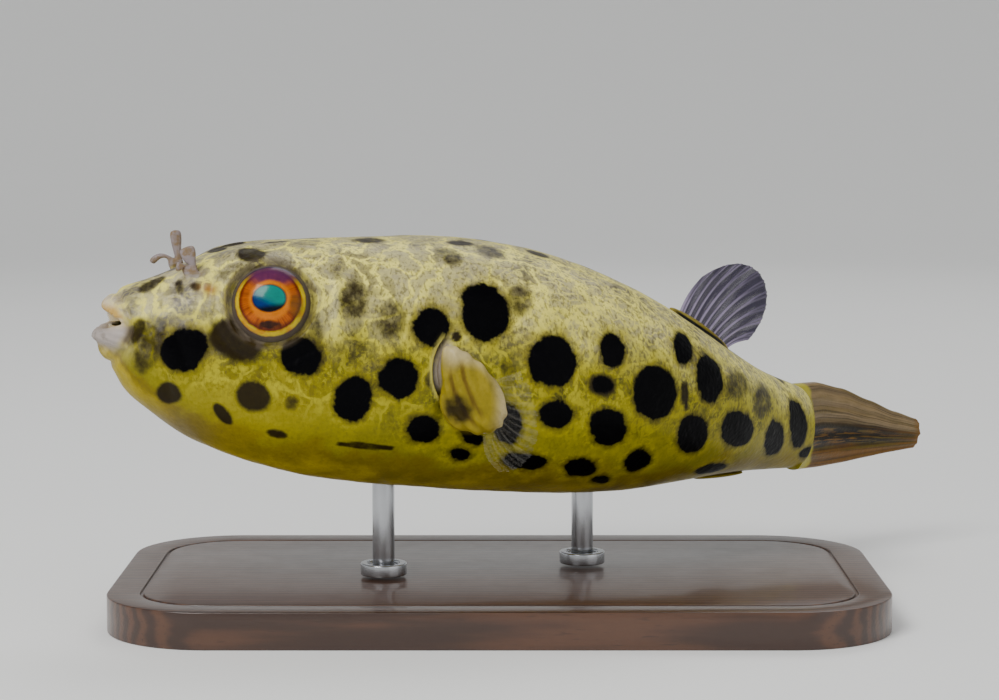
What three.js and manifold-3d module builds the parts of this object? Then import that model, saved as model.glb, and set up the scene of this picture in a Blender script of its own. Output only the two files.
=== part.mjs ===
// A life-size model of a spotted freshwater pufferfish on a plain display stand.
// Millimetres, +Z up. The fish faces -X with its left side towards -Y. Its head turns a little
// to its left and its tail bends away to its right. The origin is the centre of the stand's underside.
import * as THREE from "three";
import { mergeVertices } from "three/addons/utils/BufferGeometryUtils.js";
import Module from "manifold-3d";

const wasm = await Module();
wasm.setup();

// ---------- driving dimensions ----------

const LIFT = 11; // from the stand's underside to the level that the body's heights are measured from
const GAP = 0.3; // between neighbouring pieces
const OVERSHOOT = 1; // how far a cutter runs past the face it cuts

// The body's sections from mouth to tail root. The place is measured along the spine.
const SECTIONS = [
  [-39.4, 20.3, 15.9, 2.8, 18.0, 2.0, 2.0, 0.3],
  [-38.3, 22.0, 14.4, 3.9, 17.8, 2.0, 2.0, 0.28],
  [-36.7, 23.0, 12.2, 4.9, 17.4, 2.0, 2.0, 0.2],
  [-34.2, 23.7, 9.8, 6.1, 17.0, 2.1, 2.0, 0.1],
  [-31.3, 24.9, 7.4, 7.3, 16.6, 2.3, 2.0, 0.04],
  [-28.8, 25.7, 6.0, 8.2, 16.4, 2.5, 2.0, 0],
  [-25.3, 26.2, 4.6, 9.2, 16.1, 2.6, 2.1, 0],
  [-20.4, 26.6, 3.2, 10.3, 15.6, 2.5, 2.1, 0],
  [-12.3, 26.7, 1.9, 11.6, 14.6, 2.4, 2.1, 0],
  [-4.2, 26.5, 1.1, 12.4, 13.6, 2.3, 2.1, 0],
  [3.2, 25.2, 0.4, 12.4, 12.6, 2.2, 2.1, 0],
  [10.9, 22.5, 0.1, 11.4, 11.6, 2.1, 2.1, 0],
  [18.2, 18.7, 0.3, 9.5, 10.2, 2.0, 2.1, 0],
  [24.7, 14.9, 0.5, 7.4, 8.6, 2.0, 2.1, 0],
  [31.0, 11.9, 0.3, 5.3, 7.0, 2.0, 2.0, 0],
  [36.5, 9.9, -0.1, 3.8, 5.5, 2.0, 2.0, 0],
  [40.4, 9.0, -0.5, 2.8, 4.5, 2.0, 2.0, 0],
];
const PLACE = 0; // the columns of SECTIONS
const TOP = 1;
const BOTTOM = 2;
const HALF_WIDTH = 3;
const WIDEST = 4; // height of the widest point
const UPPER_SQUARENESS = 5; // 2 is an ellipse, and more is boxier
const LOWER_SQUARENESS = 6;
const LEAN = 7; // how far the section leans forward as it rises

const rad = THREE.MathUtils.degToRad;
const HEAD_TURN = rad(16); // the spine's direction at the head, away from +X towards +Y
const BEND = { from: -4, to: 32, angle: rad(30) }; // the body's bend towards +Y
const TRAIL = { from: 38, to: 50, angle: rad(12) }; // the tail fin's swing back towards +X

const GILL = -6.4; // where the head ends
const TAIL_START = 15; // where the tail stalk begins
const TAIL_END = 40.4; // root of the tail fin
const BELLY_TOP = 5; // height of the parting between trunk and belly

const BROW = { place: -27.2, side: 6.2, rise: 0.6, long: 3.4, wide: 2.6 }; // a swelling over each eye
const EYE = { place: -24.1, side: 5.5, height: 20.5, radius: 4.4 };

const MOUTH = {
  cornerPlace: -37.7,
  cornerSide: 3.0,
  cornerHeight: 18.85,
  cornerRadius: 0.42,
  hollow: { place: -38.6, height: 19.05, long: 2.4, wide: 2.4, tall: 1.15 },
};
// Each lip's foremost point, its section's half length and half thickness, and its tilt forward and up.
const UPPER_LIP = { place: -38.3, height: 20.4, long: 1.05, thick: 0.8, tilt: rad(-18) };
const LOWER_LIP = { place: -39.5, height: 17.0, long: 1.4, thick: 0.85, tilt: rad(38) };
const TOOTH = { place: -38.1, halfWidth: 2.0, bow: 0.75, thickness: 0.6 };
const UPPER_TOOTH = { from: 18.95, to: 20.0 };
const LOWER_TOOTH = { from: 17.6, to: 18.6 };

// Nostril feelers: a stem that forks into two lobes. Points are forward, outward and up from the root.
const FEELER = { place: -31.8, side: 4.1, sink: 0.5, stemRadius: 0.62, tipRadius: 0.42, flatness: 0.62 };
const LEFT_FEELER = {
  tall: [[0.3, 0.1, 1.5], [0.8, 0.25, 3.3]],
  short: [[1.0, 0.35, 0.7], [2.2, 0.5, 0.3]],
};
const RIGHT_FEELER = {
  tall: [[0.2, 0.1, 1.9], [0.4, 0.1, 3.8]],
  short: [[1.0, 0.2, 1.2], [2.3, 0.3, 0.5]],
};

const FIN_EDGE = { root: 0.8, tip: 0.55 }; // thickness of the dorsal, anal and pectoral fins
const RIDGE = { halfHeight: 0.95, halfWidth: 0.9, overhang: 0.6 }; // the fleshy root of a midline fin
// A midline fin's rays start along the root and fan out from firstAngle to lastAngle.
const DORSAL = {
  from: 20.8,
  to: 27.6,
  column: TOP,
  sink: 0.1,
  upward: 1,
  rayLength: 12.5,
  firstAngle: rad(42),
  lastAngle: rad(22),
  curl: rad(24),
  lean: rad(14),
};
const ANAL = {
  from: 24.6,
  to: 30.2,
  column: BOTTOM,
  sink: -0.9,
  upward: -1,
  rayLength: 9,
  firstAngle: rad(46),
  lastAngle: rad(26),
  curl: rad(20),
  lean: rad(84),
};

const PECTORAL = {
  place: -6.4, // middle of the fleshy lobe that the fin stands on
  side: 11.9,
  height: 12.3,
  lobeHalfHeight: 5.0,
  lobeHalfLength: 3.2,
  lobeHalfThickness: 1.2,
  slope: rad(17), // the lobe leans forward at its top
  lobeFlare: rad(18), // how far the lobe and the fin stand away from the flank
  finFlare: rad(72),
  rayLength: 6.4,
  firstRay: rad(28),
  lastRay: rad(-84),
  raySpread: 0.8, // the fan's height as a share of a round one's
  cup: 0.7,
};

// The tail fin, folded like a brush: heights of its edges at even steps from root to tip.
const CAUDAL = {
  length: 18.7,
  top: [8.95, 8.85, 7.9, 6.25, 4.5, 3.0],
  bottom: [-0.5, -0.55, -0.4, -0.15, 0.15, 0.5],
  rootThickness: 4.4,
  tipThickness: 0.8,
};

const STAND = { length: 76, width: 42, thickness: 3.6, cornerRadius: 10, bevel: 0.5 };
const ROD = { radius: 1.1, places: [-12, 9], depth: 3.2, sides: 16 };
const COLLAR = { radius: 2.3, height: 1.2 };

// ---------- the body's shape ----------

const UP = new THREE.Vector3(0, 0, 1);
const clamp01 = (t) => Math.min(1, Math.max(0, t));
const smooth = (t) => clamp01(t) ** 2 * (3 - 2 * clamp01(t));
const mix = (a, b, t) => a + (b - a) * t;
const signedPower = (value, power) => Math.sign(value) * Math.abs(value) ** power;

// One column of SECTIONS at a place along the spine, by a smooth curve through the sections.
function sectionValue(column, place) {
  const last = SECTIONS.length - 1;
  let i = 0;
  while (i < last - 1 && place > SECTIONS[i + 1][PLACE]) i++;
  const slope = (k) => {
    const a = SECTIONS[Math.max(0, k - 1)];
    const b = SECTIONS[Math.min(last, k + 1)];
    return (b[column] - a[column]) / (b[PLACE] - a[PLACE]);
  };
  const span = SECTIONS[i + 1][PLACE] - SECTIONS[i][PLACE];
  const t = (place - SECTIONS[i][PLACE]) / span;
  return (
    (2 * t ** 3 - 3 * t ** 2 + 1) * SECTIONS[i][column] +
    (t ** 3 - 2 * t ** 2 + t) * span * slope(i) +
    (3 * t ** 2 - 2 * t ** 3) * SECTIONS[i + 1][column] +
    (t ** 3 - t ** 2) * span * slope(i + 1)
  );
}

// The spine seen from above: straight at the head, then turning towards +Y.
function spineAt(place) {
  const turned = (bend, at) => bend.angle * smooth((at - bend.from) / (bend.to - bend.from));
  const direction = (at) => HEAD_TURN + turned(BEND, at) - turned(TRAIL, at);
  const straight = Math.min(place, BEND.from);
  let x = straight * Math.cos(HEAD_TURN);
  let y = straight * Math.sin(HEAD_TURN);
  const steps = Math.ceil((place - straight) / 1.5);
  const step = (place - straight) / Math.max(1, steps);
  for (let i = 0; i < steps; i++) {
    const middle = direction(straight + (i + 0.5) * step);
    x += Math.cos(middle) * step;
    y += Math.sin(middle) * step;
  }
  return { x, y, direction: direction(place) };
}

// A point by its place along the spine, its distance to the right of it and its height.
function onSpine(place, side, height) {
  const { x, y, direction } = spineAt(place);
  return new THREE.Vector3(x - side * Math.sin(direction), y + side * Math.cos(direction), height + LIFT);
}

// A direction given as back along the spine, to the right and up, at a place.
function spineDirection(place, back, right, up) {
  return new THREE.Vector3(back, right, up).applyAxisAngle(UP, spineAt(place).direction);
}

function browRise(place, side) {
  const along = (place - BROW.place) / BROW.long;
  const across = (Math.abs(side) - BROW.side) / BROW.wide;
  return BROW.rise * Math.exp(-(along ** 2) - across ** 2);
}

// A point of a section. Angle 0 is the back and half a turn the belly; share runs from middle to skin.
function bodyPoint(place, angle, share, grow) {
  const up = Math.cos(angle);
  const value = (column) => sectionValue(column, place);
  const power = 2 / value(up > 0 ? UPPER_SQUARENESS : LOWER_SQUARENESS);
  const reach = grow + (up > 0 ? value(TOP) - value(WIDEST) : value(WIDEST) - value(BOTTOM));
  const side = (value(HALF_WIDTH) + grow) * signedPower(Math.sin(angle), power) * share;
  const rise = reach * signedPower(up, power) * share;
  const swelling = up > 0 ? browRise(place, side) * share : 0;
  return onSpine(place + value(LEAN) * rise, side, value(WIDEST) + rise + swelling);
}

// ---------- solids ----------

function solidOf(geometry) {
  const bare = geometry.clone();
  bare.deleteAttribute("normal");
  bare.deleteAttribute("uv");
  const merged = mergeVertices(bare, 1e-4);
  return new wasm.Manifold(
    new wasm.Mesh({
      numProp: 3,
      vertProperties: merged.getAttribute("position").array,
      triVerts: new Uint32Array(merged.index.array),
    }),
  );
}

function turnedInsideOut(geometry) {
  const turned = geometry.clone();
  const corners = turned.index.array;
  for (let i = 0; i < corners.length; i += 3) {
    [corners[i], corners[i + 1]] = [corners[i + 1], corners[i]];
  }
  return turned;
}

// Moves every vertex of a closed geometry by a function of its place, and makes a solid of it.
function warped(geometry, move) {
  const bare = geometry.clone();
  bare.deleteAttribute("normal");
  bare.deleteAttribute("uv");
  const shape = mergeVertices(bare, 1e-4);
  const position = shape.getAttribute("position");
  const vertex = new THREE.Vector3();
  for (let i = 0; i < position.count; i++) {
    const moved = move(vertex.fromBufferAttribute(position, i));
    position.setXYZ(i, moved.x, moved.y, moved.z);
  }
  const solid = solidOf(shape);
  return solid.volume() > 0 ? solid : solidOf(turnedInsideOut(shape));
}

// A cylinder's vertex as a length share, an angle round the axis and a radius share.
const cylinderShares = (v) => ({
  along: v.y + 0.5,
  angle: Math.atan2(v.x, v.z),
  share: Math.min(1, Math.hypot(v.x, v.z)),
});

// The length of body between two places, its ends flat.
function bodyLength(from, to, rings, grow = 0) {
  const sides = 26;
  return warped(new THREE.CylinderGeometry(1, 1, 1, sides, rings), (v) => {
    const { along, angle, share } = cylinderShares(v);
    return bodyPoint(mix(from, to, along), angle, share, grow);
  });
}

// A slab of everything between two heights.
function layer(from, to) {
  const slab = new THREE.BoxGeometry(200, 200, to - from);
  slab.translate(0, 0, (from + to) / 2);
  return solidOf(slab);
}

// A thin blade over a surface, where u runs along the root and v from the root to the edge.
function blade(surface, columns, rows) {
  const nudge = 1e-3;
  return warped(new THREE.BoxGeometry(1, 1, 1, columns, rows, 1), (p) => {
    const u = p.x + 0.5;
    const v = p.y + 0.5;
    const alongRoot = surface(u + nudge, v).sub(surface(u - nudge, v));
    const alongRay = surface(u, v + nudge).sub(surface(u, v - nudge));
    const normal = alongRoot.cross(alongRay).normalize();
    return surface(u, v).addScaledVector(normal, p.z * mix(FIN_EDGE.root, FIN_EDGE.tip, v));
  });
}

// A ball stretched along three directions.
function lump(centre, first, second, third, detail) {
  const ball = new THREE.SphereGeometry(1, detail, Math.round(detail * 0.6));
  return warped(ball, (p) =>
    centre.clone().addScaledVector(first, p.x).addScaledVector(second, p.y).addScaledVector(third, p.z),
  );
}

function upright(radius, from, to, { x, y }) {
  const cylinder = new THREE.CylinderGeometry(radius, radius, to - from, ROD.sides);
  cylinder.rotateX(Math.PI / 2);
  cylinder.translate(x, y, (from + to) / 2);
  return solidOf(cylinder);
}

// The biggest piece of a solid that a cut has parted.
const biggest = (solid) => solid.decompose().sort((a, b) => b.volume() - a.volume())[0];

const sum = (solids) => solids.reduce((all, one) => all.add(one));

// ---------- head ----------

const eyeSides = { left: -1, right: 1 };

function eyeBall(side, radius) {
  const centre = onSpine(EYE.place, side * EYE.side, EYE.height);
  const axes = [0, 1, 2].map((k) => new THREE.Vector3().setComponent(k, radius));
  return lump(centre, ...axes, 16);
}

// A lip: a tube bent round the front of the mouth, thick in the middle and thin at the corners.
function lip({ place, height, long, thick, tilt }, grow = 0) {
  const { cornerPlace, cornerSide, cornerHeight, cornerRadius } = MOUTH;
  return warped(new THREE.CylinderGeometry(1, 1, 1, 8, 10), (v) => {
    const around = v.y * Math.PI;
    const middle = clamp01(Math.cos(around));
    const halfLong = mix(cornerRadius, long, middle ** 0.6) + grow;
    const halfThick = mix(cornerRadius, thick, middle ** 0.6) + grow;
    const back = v.x * halfLong * Math.cos(tilt) + v.z * halfThick * Math.sin(tilt);
    const rise = v.z * halfThick * Math.cos(tilt) - v.x * halfLong * Math.sin(tilt);
    const turn = Math.sin(around) * 0.8;
    return onSpine(
      mix(cornerPlace, place, middle ** 0.8) + back * Math.cos(turn),
      cornerSide * Math.sin(around) - back * Math.sin(turn),
      mix(cornerHeight, height, middle ** 0.9) + rise,
    );
  });
}

// A beak plate inside the lips: a thin curved band of tooth between two heights.
function toothPlate({ from, to }) {
  return warped(new THREE.BoxGeometry(1, 1, 1, 1, 8, 1), (p) => {
    const bow = TOOTH.bow * (1 - (2 * p.y) ** 2);
    return onSpine(
      TOOTH.place - bow + p.x * TOOTH.thickness,
      p.y * 2 * TOOTH.halfWidth,
      mix(from, to, p.z + 0.5),
    );
  });
}

function mouthHollow() {
  const { place, height, long, wide, tall } = MOUTH.hollow;
  return lump(
    onSpine(place, 0, height),
    spineDirection(place, long, 0, 0),
    spineDirection(place, 0, wide, 0),
    spineDirection(place, 0, 0, tall),
    12,
  );
}

// The height of the skin's upper half at a place and a distance to the side.
function skinHeight(place, side) {
  const across = Math.abs(side) / sectionValue(HALF_WIDTH, place);
  const squareness = sectionValue(UPPER_SQUARENESS, place);
  const rise = (1 - across ** squareness) ** (1 / squareness);
  return mix(sectionValue(WIDEST, place), sectionValue(TOP, place), rise) + browRise(place, side);
}

function feelerLobe(side, points) {
  const rootHeight = skinHeight(FEELER.place, FEELER.side) - FEELER.sink;
  const offsets = [[0, 0, 0], ...points];
  const curve = new THREE.CatmullRomCurve3(
    offsets.map(([forward, outward, up]) =>
      onSpine(FEELER.place - forward, side * (FEELER.side + outward), rootHeight + up),
    ),
  );
  const across = spineDirection(FEELER.place, 0, 1, 0);
  return warped(new THREE.CylinderGeometry(1, 1, 1, 8, 5), (v) => {
    const t = v.y + 0.5;
    const radius = mix(FEELER.stemRadius, FEELER.tipRadius, t);
    const wide = new THREE.Vector3().crossVectors(across, curve.getTangent(t)).normalize();
    return curve
      .getPoint(t)
      .addScaledVector(wide, v.x * radius)
      .addScaledVector(across, v.z * radius * FEELER.flatness);
  });
}

// ---------- fins ----------

const finBase = (fin, place) => sectionValue(fin.column, place) - fin.sink;

// The surface of a midline fin.
function midlineFin(fin) {
  return (u, v) => {
    const place = mix(fin.from, fin.to, u);
    const outline = Math.sin(Math.PI * mix(0.14, 0.91, clamp01(u))) ** 0.8;
    const angle = mix(fin.firstAngle, fin.lastAngle, u) + fin.curl * (0.5 - v / 2);
    const length = fin.rayLength * outline * v;
    const rise = length * Math.sin(angle);
    const offset = spineDirection(
      place,
      length * Math.cos(angle),
      rise * Math.sin(fin.lean),
      fin.upward * rise * Math.cos(fin.lean),
    );
    return onSpine(place, 0, finBase(fin, place)).add(offset);
  };
}

// The fleshy ridge that a midline fin stands on.
function finRidge(fin, grow = 0) {
  const front = onSpine(fin.from - RIDGE.overhang, 0, finBase(fin, fin.from));
  const rear = onSpine(fin.to + RIDGE.overhang, 0, finBase(fin, fin.to));
  const centre = front.clone().add(rear).multiplyScalar(0.5);
  centre.z += fin.upward * 0.3;
  const along = rear.clone().sub(front).multiplyScalar(0.5);
  const across = new THREE.Vector3().crossVectors(UP, along).normalize();
  const upward = new THREE.Vector3().crossVectors(along, across).normalize();
  return lump(
    centre,
    along.setLength(along.length() + grow),
    across.setLength(RIDGE.halfWidth + grow),
    upward.setLength(RIDGE.halfHeight + grow),
    12,
  );
}

// The directions of a pectoral lobe or fin: back along it, up its root and out from the flank.
function pectoralAxes(side, flare) {
  const { place, slope } = PECTORAL;
  const up = spineDirection(place, -Math.sin(slope), 0, Math.cos(slope));
  const back = spineDirection(
    place,
    Math.cos(slope) * Math.cos(flare),
    side * Math.sin(flare),
    Math.sin(slope) * Math.cos(flare),
  );
  const out = new THREE.Vector3().crossVectors(back, up).multiplyScalar(-side);
  return { up, back, out };
}

const pectoralCentre = (side) => onSpine(PECTORAL.place, side * PECTORAL.side, PECTORAL.height);

function pectoralLobe(side, grow = 0) {
  const { up, back, out } = pectoralAxes(side, PECTORAL.lobeFlare);
  return lump(
    pectoralCentre(side),
    back.setLength(PECTORAL.lobeHalfLength + grow),
    up.setLength(PECTORAL.lobeHalfHeight + grow),
    out.setLength(PECTORAL.lobeHalfThickness + grow),
    14,
  );
}

// The surface of a pectoral fin: a fan of rays round the rear edge of its lobe.
function pectoralFin(side) {
  const lobe = pectoralAxes(side, PECTORAL.lobeFlare);
  const fin = pectoralAxes(side, PECTORAL.finFlare);
  const { lobeHalfHeight, lobeHalfLength, rayLength, firstRay, lastRay, raySpread, cup } = PECTORAL;
  const rootShare = 0.8;
  return (u, v) => {
    const angle = mix(firstRay, lastRay, u);
    const length = rayLength * mix(0.82, 1, Math.sin(Math.PI * clamp01(u))) * v;
    return pectoralCentre(side)
      .addScaledVector(lobe.back, Math.cos(angle) * rootShare * lobeHalfLength)
      .addScaledVector(lobe.up, Math.sin(angle) * rootShare * lobeHalfHeight)
      .addScaledVector(fin.back, Math.cos(angle) * length)
      .addScaledVector(fin.up, Math.sin(angle) * length * raySpread)
      .addScaledVector(fin.out, cup * Math.sin(Math.PI * v));
  };
}

function atShare(list, t) {
  const at = clamp01(t) * (list.length - 1);
  const i = Math.min(list.length - 2, Math.floor(at));
  return mix(list[i], list[i + 1], smooth(at - i) * 0.3 + (at - i) * 0.7);
}

function caudalFin() {
  return warped(new THREE.CylinderGeometry(1, 1, 1, 16, 12), (p) => {
    const t = p.y + 0.5;
    const top = atShare(CAUDAL.top, t);
    const bottom = atShare(CAUDAL.bottom, t);
    const thickness = mix(CAUDAL.rootThickness, CAUDAL.tipThickness, t ** 0.6);
    return onSpine(
      TAIL_END + GAP + t * CAUDAL.length,
      (p.x * thickness) / 2,
      (top + bottom + p.z * (top - bottom)) / 2,
    );
  });
}

// ---------- stand ----------

function standBase() {
  const { length, width, thickness, cornerRadius, bevel } = STAND;
  const x = length / 2 - bevel - cornerRadius;
  const y = width / 2 - bevel - cornerRadius;
  const outline = new THREE.Shape();
  outline.absarc(x, -y, cornerRadius, -Math.PI / 2, 0);
  outline.absarc(x, y, cornerRadius, 0, Math.PI / 2);
  outline.absarc(-x, y, cornerRadius, Math.PI / 2, Math.PI);
  outline.absarc(-x, -y, cornerRadius, Math.PI, Math.PI * 1.5);
  const plate = new THREE.ExtrudeGeometry(outline, {
    depth: thickness - 2 * bevel,
    bevelThickness: bevel,
    bevelSize: bevel,
    bevelSegments: 2,
    curveSegments: 5,
  });
  plate.translate(0, 0, bevel);
  return solidOf(plate);
}

const rods = Object.fromEntries(
  ROD.places.map((place, i) => {
    const top = sectionValue(BOTTOM, place) + LIFT + ROD.depth;
    return [["front", "rear"][i], { ...spineAt(place), top }];
  }),
);
const rodSockets = sum(
  Object.values(rods).map((rod) => upright(ROD.radius + GAP, -OVERSHOOT, rod.top + GAP, rod)),
);
const standTop = STAND.thickness + GAP;

function collar(rod) {
  const ring = upright(COLLAR.radius, standTop, standTop + COLLAR.height, rod);
  return ring.subtract(upright(ROD.radius + GAP, 0, standTop + COLLAR.height + OVERSHOOT, rod));
}

// ---------- assembly ----------

const pectoralClearance = pectoralLobe(-1, GAP).add(pectoralLobe(1, GAP));
const lipClearance = lip(UPPER_LIP, GAP).add(lip(LOWER_LIP, GAP));
const bodyClearance = bodyLength(-38, TAIL_END, 24, GAP);

const toothClearance = toothPlate({ from: LOWER_TOOTH.from - GAP, to: UPPER_TOOTH.to + GAP });

const head = bodyLength(SECTIONS[0][PLACE], GILL - GAP / 2, 14)
  .subtract(eyeBall(-1, EYE.radius + GAP))
  .subtract(eyeBall(1, EYE.radius + GAP))
  .subtract(lipClearance)
  .subtract(toothClearance)
  .subtract(mouthHollow())
  .subtract(rodSockets)
  .subtract(pectoralClearance);

const middle = bodyLength(GILL + GAP / 2, TAIL_START - GAP / 2, 10)
  .subtract(rodSockets)
  .subtract(pectoralClearance);
const parting = BELLY_TOP + LIFT;
const trunk = middle.subtract(layer(-OVERSHOOT, parting + GAP / 2));
const belly = middle.subtract(layer(parting - GAP / 2, 100));

const tailStalk = bodyLength(TAIL_START + GAP / 2, TAIL_END, 12)
  .subtract(finRidge(DORSAL, GAP))
  .subtract(finRidge(ANAL, GAP));

const freeOfBody = (solid) => solid.subtract(bodyClearance);

const group = new THREE.Group();

function addPart(name, solid, finish) {
  const { vertProperties, triVerts } = biggest(solid).getMesh();
  const geometry = new THREE.BufferGeometry();
  geometry.setAttribute("position", new THREE.BufferAttribute(new Float32Array(vertProperties), 3));
  geometry.setIndex(new THREE.BufferAttribute(new Uint32Array(triVerts), 1));
  geometry.computeVertexNormals();
  const mesh = new THREE.Mesh(geometry, new THREE.MeshStandardMaterial(finish));
  mesh.name = name;
  group.add(mesh);
}

const SKIN = { color: 0xb0a860, roughness: 0.45, metalness: 0 };
const FIN = { color: 0x9a9480, roughness: 0.5, metalness: 0 };
const TAIL_FIN = { color: 0x8a6a2a, roughness: 0.5, metalness: 0 };
const LIP = { color: 0xd8cfb0, roughness: 0.4, metalness: 0 };
const ENAMEL = { color: 0xe8dca8, roughness: 0.3, metalness: 0 };
const IRIS = { color: 0xd97a1c, roughness: 0.1, metalness: 0 };
const WOOD = { color: 0x4a2f1d, roughness: 0.45, metalness: 0 };
const STEEL = { color: 0xb8bcc0, roughness: 0.25, metalness: 1 };

addPart("head", head, SKIN);
addPart("trunk", trunk, SKIN);
addPart("belly", belly, SKIN);
addPart("tail_stalk", tailStalk, SKIN);
addPart("upper_lip", lip(UPPER_LIP), LIP);
addPart("lower_lip", lip(LOWER_LIP).subtract(lip(UPPER_LIP, GAP)), LIP);
addPart("upper_tooth_plate", toothPlate(UPPER_TOOTH).subtract(lipClearance), ENAMEL);
addPart("lower_tooth_plate", toothPlate(LOWER_TOOTH).subtract(lipClearance), ENAMEL);

for (const [name, fin] of Object.entries({ dorsal: DORSAL, anal: ANAL })) {
  addPart(`${name}_base`, finRidge(fin), SKIN);
  const web = blade(midlineFin(fin), 9, 6).subtract(finRidge(fin, GAP));
  addPart(`${name}_fin`, freeOfBody(web), FIN);
}
addPart("caudal_fin", caudalFin(), TAIL_FIN);

const feelers = { left: LEFT_FEELER, right: RIGHT_FEELER };
for (const [name, side] of Object.entries(eyeSides)) {
  addPart(`eye_${name}`, eyeBall(side, EYE.radius), IRIS);
  const { tall, short } = feelers[name];
  addPart(`nostril_feeler_${name}`, freeOfBody(feelerLobe(side, tall).add(feelerLobe(side, short))), LIP);
  addPart(`pectoral_base_${name}`, freeOfBody(pectoralLobe(side)), SKIN);
  const web = blade(pectoralFin(side), 12, 5).subtract(pectoralLobe(side, GAP));
  addPart(`pectoral_fin_${name}`, freeOfBody(web), FIN);
}

addPart("stand_base", standBase(), WOOD);
for (const [name, rod] of Object.entries(rods)) {
  addPart(`stand_rod_${name}`, upright(ROD.radius, standTop, rod.top, rod), STEEL);
  addPart(`stand_collar_${name}`, collar(rod), STEEL);
}

export default group;
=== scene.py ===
import math

import bmesh
import bpy
import numpy as np
from bpy.props import FloatProperty, FloatVectorProperty, IntProperty, PointerProperty
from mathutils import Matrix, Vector
from mathutils.bvhtree import BVHTree


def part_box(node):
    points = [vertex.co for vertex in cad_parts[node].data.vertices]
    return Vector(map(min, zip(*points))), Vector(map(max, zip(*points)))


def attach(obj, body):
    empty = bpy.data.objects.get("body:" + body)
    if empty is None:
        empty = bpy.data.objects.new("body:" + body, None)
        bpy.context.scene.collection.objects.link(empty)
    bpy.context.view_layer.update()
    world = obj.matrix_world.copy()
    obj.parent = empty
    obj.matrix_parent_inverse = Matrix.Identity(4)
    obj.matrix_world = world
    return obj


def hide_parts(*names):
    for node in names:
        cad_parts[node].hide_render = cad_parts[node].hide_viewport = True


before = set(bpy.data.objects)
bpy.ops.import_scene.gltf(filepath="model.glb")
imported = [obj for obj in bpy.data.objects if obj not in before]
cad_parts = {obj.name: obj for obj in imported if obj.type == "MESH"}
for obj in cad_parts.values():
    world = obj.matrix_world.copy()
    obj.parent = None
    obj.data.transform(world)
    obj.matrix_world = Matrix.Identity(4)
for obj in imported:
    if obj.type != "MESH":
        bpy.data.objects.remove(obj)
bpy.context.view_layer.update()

bl_info = {
    "name": "Spotted Freshwater Puffer",
    "version": (1, 0, 0),
    "blender": (4, 5, 0),
    "location": "3D View > Sidebar > Puffer",
    "description": "Models a life-size spotted freshwater pufferfish on a display stand",
    "category": "Add Mesh",
}

MM = 0.001

# ---------- sizes, in millimetres ----------

LIFT = 11.0  # from the floor to the level that the body's heights are measured from
HEAD_TURN = math.radians(16)  # the spine's direction at the head, away from +X towards +Y
BEND = (-4.0, 32.0, math.radians(30))  # from, to and angle of the body's bend
TRAIL = (38.0, 50.0, math.radians(-12))  # the tail fin's swing back
# Place along the spine, top, bottom, half width, height of the widest point, squareness of the upper
# and the lower half, and how far the section leans forward as it rises.
SECTIONS = np.array([
    (-39.4, 20.3, 15.9, 2.8, 18.0, 2.0, 2.0, 0.3),
    (-38.3, 22.0, 14.4, 3.9, 17.8, 2.0, 2.0, 0.28),
    (-36.7, 23.0, 12.2, 4.9, 17.4, 2.0, 2.0, 0.2),
    (-34.2, 23.7, 9.8, 6.1, 17.0, 2.1, 2.0, 0.1),
    (-31.3, 24.9, 7.4, 7.3, 16.6, 2.3, 2.0, 0.04),
    (-28.8, 25.7, 6.0, 8.2, 16.4, 2.5, 2.0, 0),
    (-25.3, 26.2, 4.6, 9.2, 16.1, 2.6, 2.1, 0),
    (-20.4, 26.6, 3.2, 10.3, 15.6, 2.5, 2.1, 0),
    (-12.3, 26.7, 1.9, 11.6, 14.6, 2.4, 2.1, 0),
    (-4.2, 26.5, 1.1, 12.4, 13.6, 2.3, 2.1, 0),
    (3.2, 25.2, 0.4, 12.4, 12.6, 2.2, 2.1, 0),
    (10.9, 22.5, 0.1, 11.4, 11.6, 2.1, 2.1, 0),
    (18.2, 18.7, 0.3, 9.5, 10.2, 2.0, 2.1, 0),
    (24.7, 14.9, 0.5, 7.4, 8.6, 2.0, 2.1, 0),
    (31.0, 11.9, 0.3, 5.3, 7.0, 2.0, 2.0, 0),
    (36.5, 9.9, -0.1, 3.8, 5.5, 2.0, 2.0, 0),
    (40.4, 9.0, -0.5, 2.8, 4.5, 2.0, 2.0, 0),
])
PLACE, TOP, BOTTOM, HALF_WIDTH, WIDEST, UPPER_SQ, LOWER_SQ, LEAN = range(8)

COLUMNS = 28  # of the skin's coarse cage, round the body
TAIL_END_SHRINK = 0.55  # how far the cage's first ring, hidden in the tail fin, is drawn in to its middle
# Places of the cage's rings, from the tail's end forward to the back of the lips.
RINGS = (
    42.2, 40.4, 37.4, 34.2, 31.0, 28.6, 26.2, 23.8, 21.4, 17.8, 13.9, 10.0, 6.1, 2.3, -1.0, -3.4, -5.4,
    -7.4, -9.8, -12.4, -15.0, -17.4, -19.6, -21.85, -24.1, -26.35, -28.6, -30.3, -31.8, -33.2, -34.6,
    -35.8, -36.8,
)
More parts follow.
